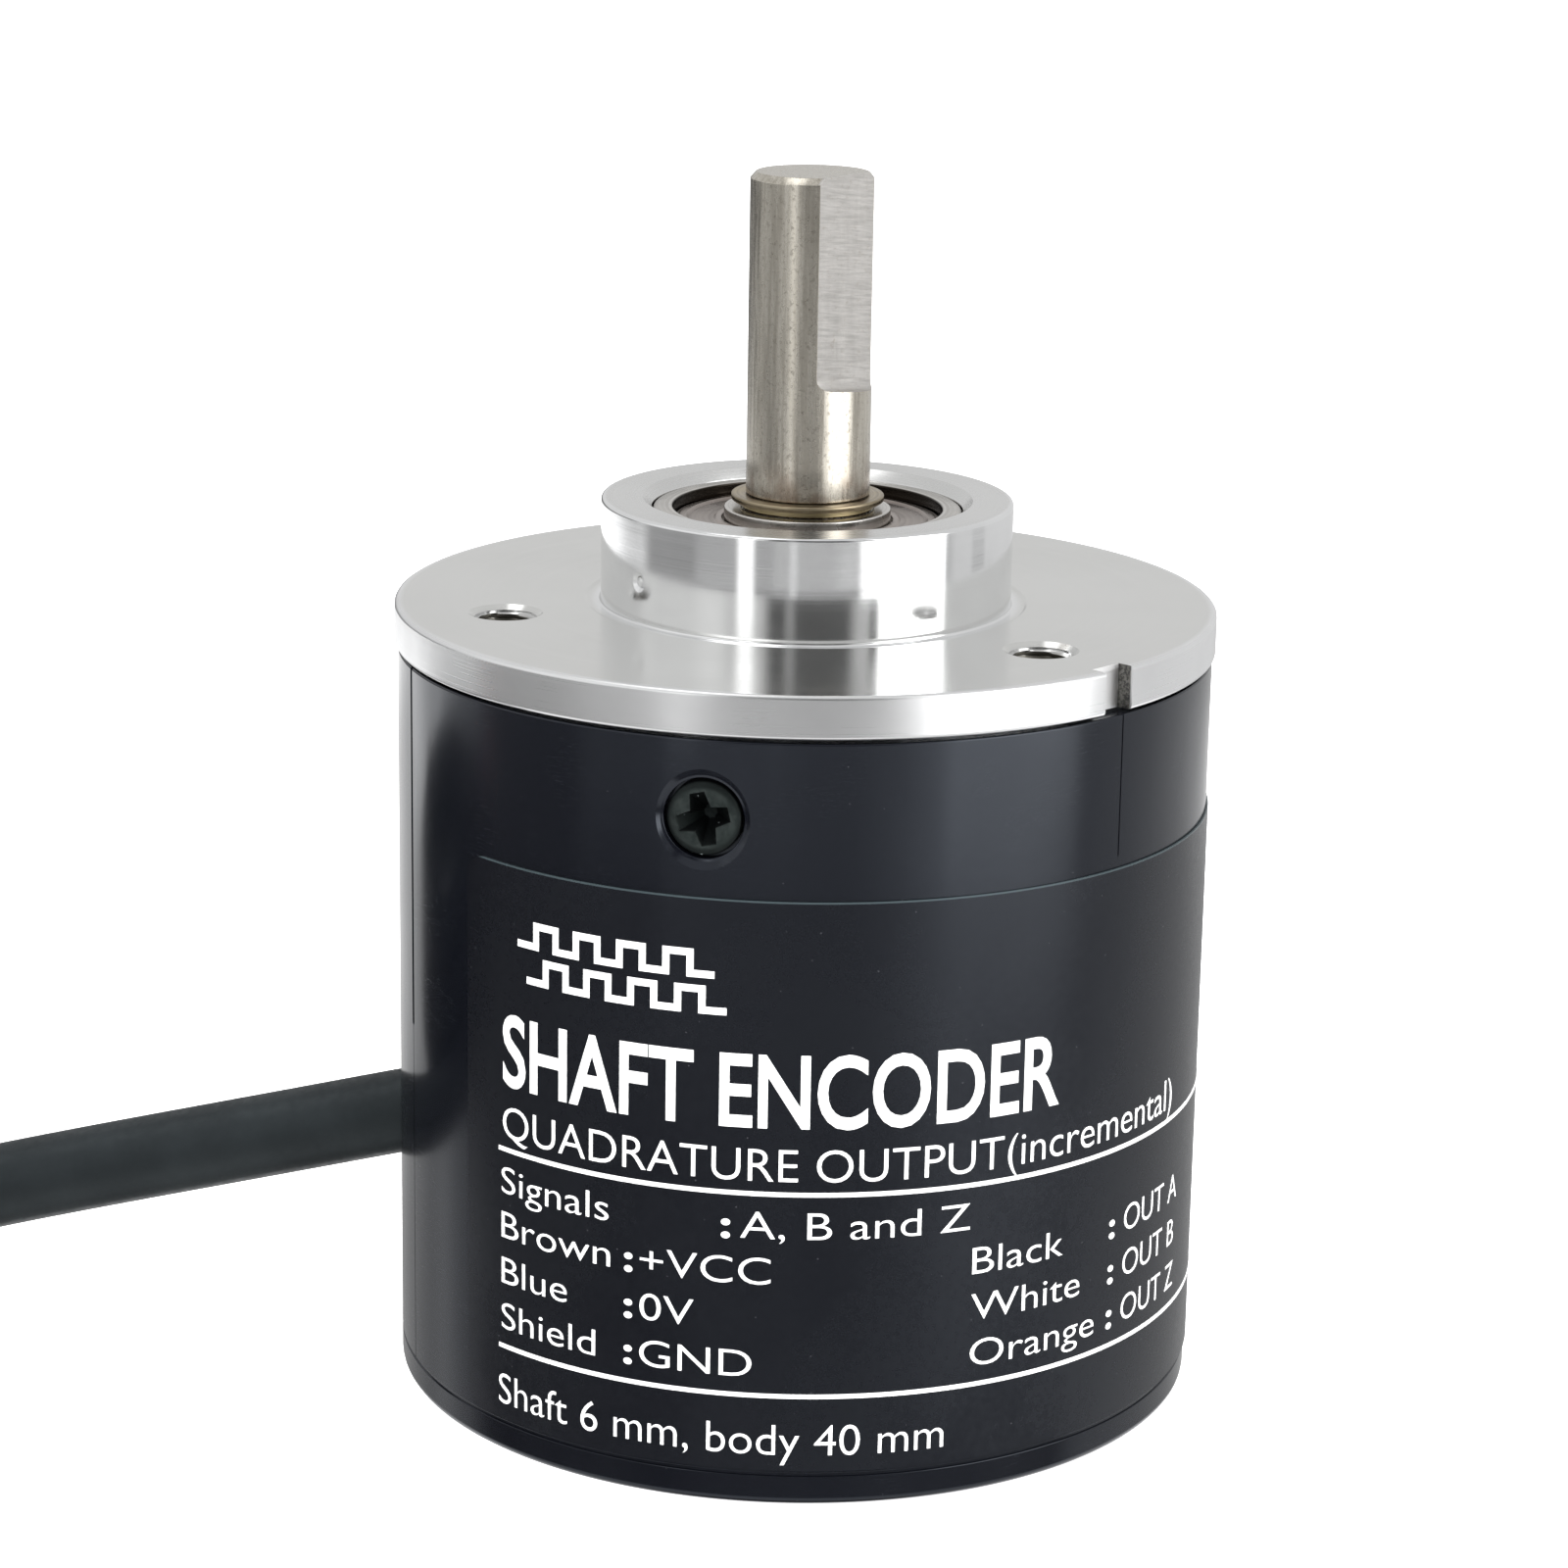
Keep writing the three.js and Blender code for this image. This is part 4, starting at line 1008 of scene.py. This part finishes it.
def bearing_shield():
    """The pressed shield: a crimped rim, a dished ring and a lip beside the inner ring."""
    top = FRONT_BEARING_Z + RACE_HALF_WIDTH - 0.5
    profile = filleted([
        (4.16, top - 0.3, 0.03), (4.16, top - 0.06, 0.05), (4.42, top - 0.02, 0.06),
        (4.55, top - 0.12, 0.05),
        (5.75, top - 0.1, 0.05), (5.88, top, 0.05), (6.2, top, 0.06), (6.28, top - 0.08, 0.03),
        (6.44, top - 0.06, 0.05), (6.44, top - 0.3, 0.03),
    ], 3)
    shield = lathe("front_shield", profile, RING_SIDES)
    piece(shield, "housing", "shield_steel", "front_bearing_front_shield")


def snap_ring():
    """The open clip in the shaft's groove."""
    ring = lathe("snap_ring", filleted([
        (2.8, 43.9, 0.03), (3.7, 43.9, 0.06), (3.7, 44.2, 0.06), (2.8, 44.2, 0.03),
    ], 3), RING_SIDES)
    combine(ring, [moved(block((0, -0.8, 43), (5, 0.8, 45)), turn(100))])
    bevelled(ring, 0.02)
    piece(ring, "shaft_assembly", "spring_steel", "retaining_clip")


def thrust_shim():
    """The shim between the clip and the bearing."""
    shim = lathe("thrust_shim", filleted([
        (3.06, 43.6, 0.02), (3.25, 43.6, 0.04), (3.25, 43.84, 0.04), (3.06, 43.84, 0.02),
    ], 3), RING_SIDES)
    piece(shim, "shaft_assembly", "brass", "shim_washer")


# ---------------------------------------------------------------- cable

def grommet():
    """The bush that holds the cable, hidden behind the wall that it comes through."""
    bush = along_exit(lathe("grommet_bush", filleted([
        (2.16, -4, 0.15), (3.0, -4, 0.2), (3.5, -3.4, 0.2), (3.5, -2.5, 0.2), (2.16, -2.5, 0.15),
    ]), 96))
    return piece(bush, "housing", "black_rubber", "cable_grommet")


def coil_points():
    """Three turns clockwise, each climbing a diameter over the turn below in its last quarter."""
    points = []
    for i in range(COIL_TURNS * TURN_POINTS + 1):
        turned = i / TURN_POINTS
        whole = min(int(turned), COIL_TURNS - 1)
        climb = smoothstep((turned - whole - 0.76) / 0.15)
        height = COIL_BOTTOM + CABLE_RADIUS * (1 + 2 * (whole + climb)) - 0.05
        points.append(COIL_CENTRE + polar(COIL_RADIUS, -90 - 360 * turned, height))
    return points


def lead_points(length, bundled, sideways, drop, start, end):
    """Points of a lead between two shares of its length, along the top of the coil."""
    jacket_end = COIL_BOTTOM + (2 * COIL_TURNS + 1) * CABLE_RADIUS
    offset = polar(LEAD_BUNDLE_RADIUS, bundled)
    crown = COIL_BOTTOM + 2 * COIL_TURNS * CABLE_RADIUS + LEAD_RADIUS + 0.1
    points = []
    for step in range(25):
        share = start + (end - start) * step / 24
        fanned = min(1, share / 0.8)
        across = offset.x + (sideways - offset.x) * fanned
        height = jacket_end + offset.y
        height += (crown - drop - height) * fanned ** (2 if drop else 1)
        azimuth = -90 - math.degrees(share * length / COIL_RADIUS)
        points.append(COIL_CENTRE + polar(COIL_RADIUS + across, azimuth, height))
    return points


def add_leads():
    """Six stripped leads. Each insulated one ends in a bare tinned tip."""
    pieces = []
    for name, (_, length, *bent) in LEADS.items():
        braided = name == "lead_shield"
        bare = 1 if braided else 1 - TIP_LENGTH / length
        wire = lead_points(length, *bent, 0, bare)
        pieces.append(curve(f"{name}_wire", wire, LEAD_RADIUS, "shield_braid" if braided else name))
        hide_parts(name)
        if not braided:
            tip = lead_points(length, *bent, bare - 0.01, 1)
            pieces.append(curve(f"{name}_tip", tip, TIP_RADIUS, "shield_braid", "tinned_copper"))
    return pieces


def coil_tie():
    """A ridged strap round the coil's section, with its lock on the outer side."""
    top = COIL_BOTTOM + COIL_TURNS * 2 * CABLE_RADIUS + 0.6
    outer = filleted([(-2.9, 0, 1.0), (2.9, 0, 1.0), (2.9, top, 1.6), (-2.9, top, 1.6)], 6)
    inner = [(-2.35, 0.2, 0.7), (2.35, 0.2, 0.7), (2.35, top - 0.4, 1.3), (-2.35, top - 0.4, 1.3)]
    inner = filleted(inner, 6)
    count = len(outer)
    loops = []
    for outline, width in ((outer, 1.1), (outer, -1.1), (inner, -1.3), (inner, 1.3)):
        loops.append([(COIL_RADIUS + x, width, z) for x, z in outline])
    vertices = [point for loop in loops for point in loop]
    faces = []
    for loop in range(4):
        for i in range(count):
            j = (i + 1) % count
            a, b = loop * count, ((loop + 1) % 4) * count
            faces.append((a + i, a + j, b + j, b + i))
    strap = mesh_object("coil_strap", vertices, faces)
    lock = block((COIL_RADIUS + 2.5, -1.9, 4.2), (COIL_RADIUS + 4.3, 1.9, 7.6))
    bevelled(lock, 0.35, 3)
    combine(strap, [lock], "UNION")
    moved(strap, Matrix.Translation(COIL_CENTRE) @ turn(90))
    return piece(strap, "housing", "black_rubber", "coil_tie")


def add_cable():
    """The cable as one cord from the cover to its stripped end, with its bush, strap and leads."""
    points = catmull(CABLE_ROUTE + (tuple(coil_points()[0]),), 4)[:-1] + coil_points()
    cable = curve("cable_run", points, CABLE_RADIUS, "cable_jacket")
    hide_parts("cable", "cable_coil")
    pieces = [grommet(), coil_tie(), *add_leads()]


# ---------------------------------------------------------------- camera, light and floor

LENS, SENSOR = 98.69, 36
CAMERA_PLACE, CAMERA_TARGET = Vector((0, -204.85, 85.06)), Vector((-0.91, 0, 29.55))
CAMERA_ROLL = 0.96

# Lamps: place and size in metres, and power.
LAMPS = {"lamp_top": ((0.05, -0.05, 0.5), 0.35, 3.5), "lamp_front": ((-0.2, -0.5, 0.35), 0.3, 3.0)}
LAMP_TARGET = Vector((0, 0, 0.02))

FLOOR_RADIUS = 3000
AMBIENT, DARKEST = 0.12, 0.02
# Bands of light: strength, azimuths from the front to the right, heights above the horizon, and how
# softly each ends sideways and upwards, all in degrees.
STUDIO_BANDS = (
    (0.85, None, (-70, -28), 4, 5),
    (0.6, None, (-11, 89), 4, 5),
    # The front and the left as the shaft mirrors them, and a lamp overhead for its upper edge.
    (-0.5, (-22, 26), (-7, 45), 4, 5),
    (-0.12, (-105, -62), (-11, 30), 8, 1),
    (-0.5, (-175, -108), (-10.5, 5), 6, 1),
    (1.8, (-125, -40), (62, 84), 10, 4),
    # As the upper half of the boss mirrors them, and the lower half by way of the flange's face.
    (0.45, (-180, -100), (-14, -11.5), 6, 0.3),
    (0.3, (-18, 26), (-12.4, -11.2), 4, 0.3),
    (0.45, (-9, -5), (-13.8, -11.4), 1.5, 0.3),
    (-0.3, (105, 117), (-13.6, -12), 2, 0.2),
    (0.25, (-105, -45), (5, 40), 6, 1),
    (-0.13, (-20, 36), (5, 45), 4, 1),
    (0.3, (-11, -6), (5, 40), 2, 1),
    # As the rim and the cover mirror them.
    (0.7, (-64, -34), (-15.2, -13.4), 4, 0.4),
    (0.5, (-32, 30), (-17, -13.9), 8, 0.4),
    (0.75, (-145, -100), (-15.5, -13.6), 4, 0.4),
    (0.3, (105, 180), (-16, -14), 6, 0.4),
    (0.5, (-32, 24), (-15.4, -13.8), 6, 0.3),
    (0.6, (-126, -104), (-15.2, -13.4), 4, 0.3),
    (1.1, (18, 42), (-15.4, -13.9), 6, 0.5),
    (1.9, (30, 76), (-17.2, -14.6), 14, 0.8),
    # The soft box, whose lower corner the boss cuts.
    (2.9, (40, 82), (-14.8, 50), 2.5, 0.8),
    (-2.7, (37, 42), (6, 45), 2, 1),
    (2.0, (30, 42), (-12.2, 3), 2, 0.5),
    (1.1, (-38, -29), (-13.8, 30), 2, 1),
    (0.4, (-125, -104), (-60, -15), 6, 2),
    (-0.1, (-96, -30), (-30, -16.4), 8, 0.5),
    (0.35, (-180, -118), (-60, -11), 10, 3),
    (0.6, (-180, -128), (-19, -11), 10, 2),
    (0.45, (86, 180), (-60, -10), 6, 6),
)


def add_camera():
    """The photograph's view: a long lens a little above the flange, rolled by about a degree."""
    data = bpy.data.cameras.new("camera")
    data.lens = LENS
    data.sensor_width = SENSOR
    data.clip_start = 0.01
    data.clip_end = 50
    camera = bpy.data.objects.new("camera", data)
    bpy.context.scene.collection.objects.link(camera)
    looking = (CAMERA_TARGET - CAMERA_PLACE).to_track_quat("-Z", "Y").to_matrix().to_4x4()
    rolled = looking @ Matrix.Rotation(math.radians(CAMERA_ROLL), 4, "Z")
    camera.matrix_world = Matrix.Translation(CAMERA_PLACE * MM) @ rolled
    bpy.context.scene.camera = camera


class Sky(Finish):
    """The studio round the object, as a world: soft bands of light by direction."""

    def __init__(self):
        world = bpy.data.worlds.new("studio")
        bpy.context.scene.world = world
        world.use_nodes = True
        self.tree = world.node_tree
        self.background = self.tree.nodes["Background"]
        x, y, z = self.node("SeparateXYZ", self.node("TexCoord").outputs["Generated"]).outputs[:3]
        self.azimuth = self.math("DEGREES", self.math("ARCTAN2", x, self.product(y, -1.0)))
        self.height = self.math("DEGREES", self.math("ARCSINE", z))

    def window(self, value, low, high, soft):
        """1 between two angles, with a soft rise and fall about them."""
        return self.between(value, low - soft, low + soft, high - soft, high + soft)

    def band(self, strength, azimuths, heights, soft, soft_height):
        """The light of one band of STUDIO_BANDS."""
        light = strength
        if azimuths:
            light = self.product(self.window(self.azimuth, *azimuths, soft), light)
        return self.product(self.window(self.height, *heights, soft_height), light)


def add_studio():
    """Bands of light by direction, with a soft box on the right, and two lamps."""
    sky = Sky()
    light = sky.sum(AMBIENT, *(sky.band(*band) for band in STUDIO_BANDS))
    sky.feed(sky.background.inputs["Strength"], sky.math("MAXIMUM", light, DARKEST))
    sky.background.inputs["Color"].default_value = (1, 1, 1, 1)
    for name, (place, size, power) in LAMPS.items():
        data = bpy.data.lights.new(name, "AREA")
        data.size = size
        data.energy = power
        lamp = bpy.data.objects.new(name, data)
        bpy.context.scene.collection.objects.link(lamp)
        lamp.location = place
        lamp.rotation_euler = (LAMP_TARGET - Vector(place)).to_track_quat("-Z", "Y").to_euler()
        lamp.visible_glossy = False


def add_floor():
    """A plain white table that glows a little, as a light table does."""
    f = Finish("white_table", (0.9, 0.9, 0.9), 0.0, 0.8)
    f.set("Emission Color", (1, 1, 1, 1))
    f.set("Emission Strength", 0.85)
    floor = lathe("floor", [(0, -0.05), (FLOOR_RADIUS, -0.05), (FLOOR_RADIUS, -20), (0, -20)], 64)
    floor.data.transform(Matrix.Scale(MM, 4))
    floor.data.materials.append(f.material)
    floor.visible_glossy = False


add_camera()
add_cable()
flange_casting()
cover_shell()
for number, azimuth in enumerate(SCREW_AZIMUTHS, 1):
    phillips_screw(number, azimuth)
name_plate()
legend()
shaft_rod()
bearing_race("front_race_outer", 7.5, 6.55, 6.1, 1, "housing", "front_bearing_outer_ring")
bearing_race("front_race_inner", 3.05, 4.05, 4.4, -1, "shaft_assembly", "front_bearing_inner_ring")
bearing_shield()
snap_ring()
thrust_shim()
finish_cad_nodes()
add_studio()
add_floor()
bpy.context.scene.view_settings.view_transform = "Standard"
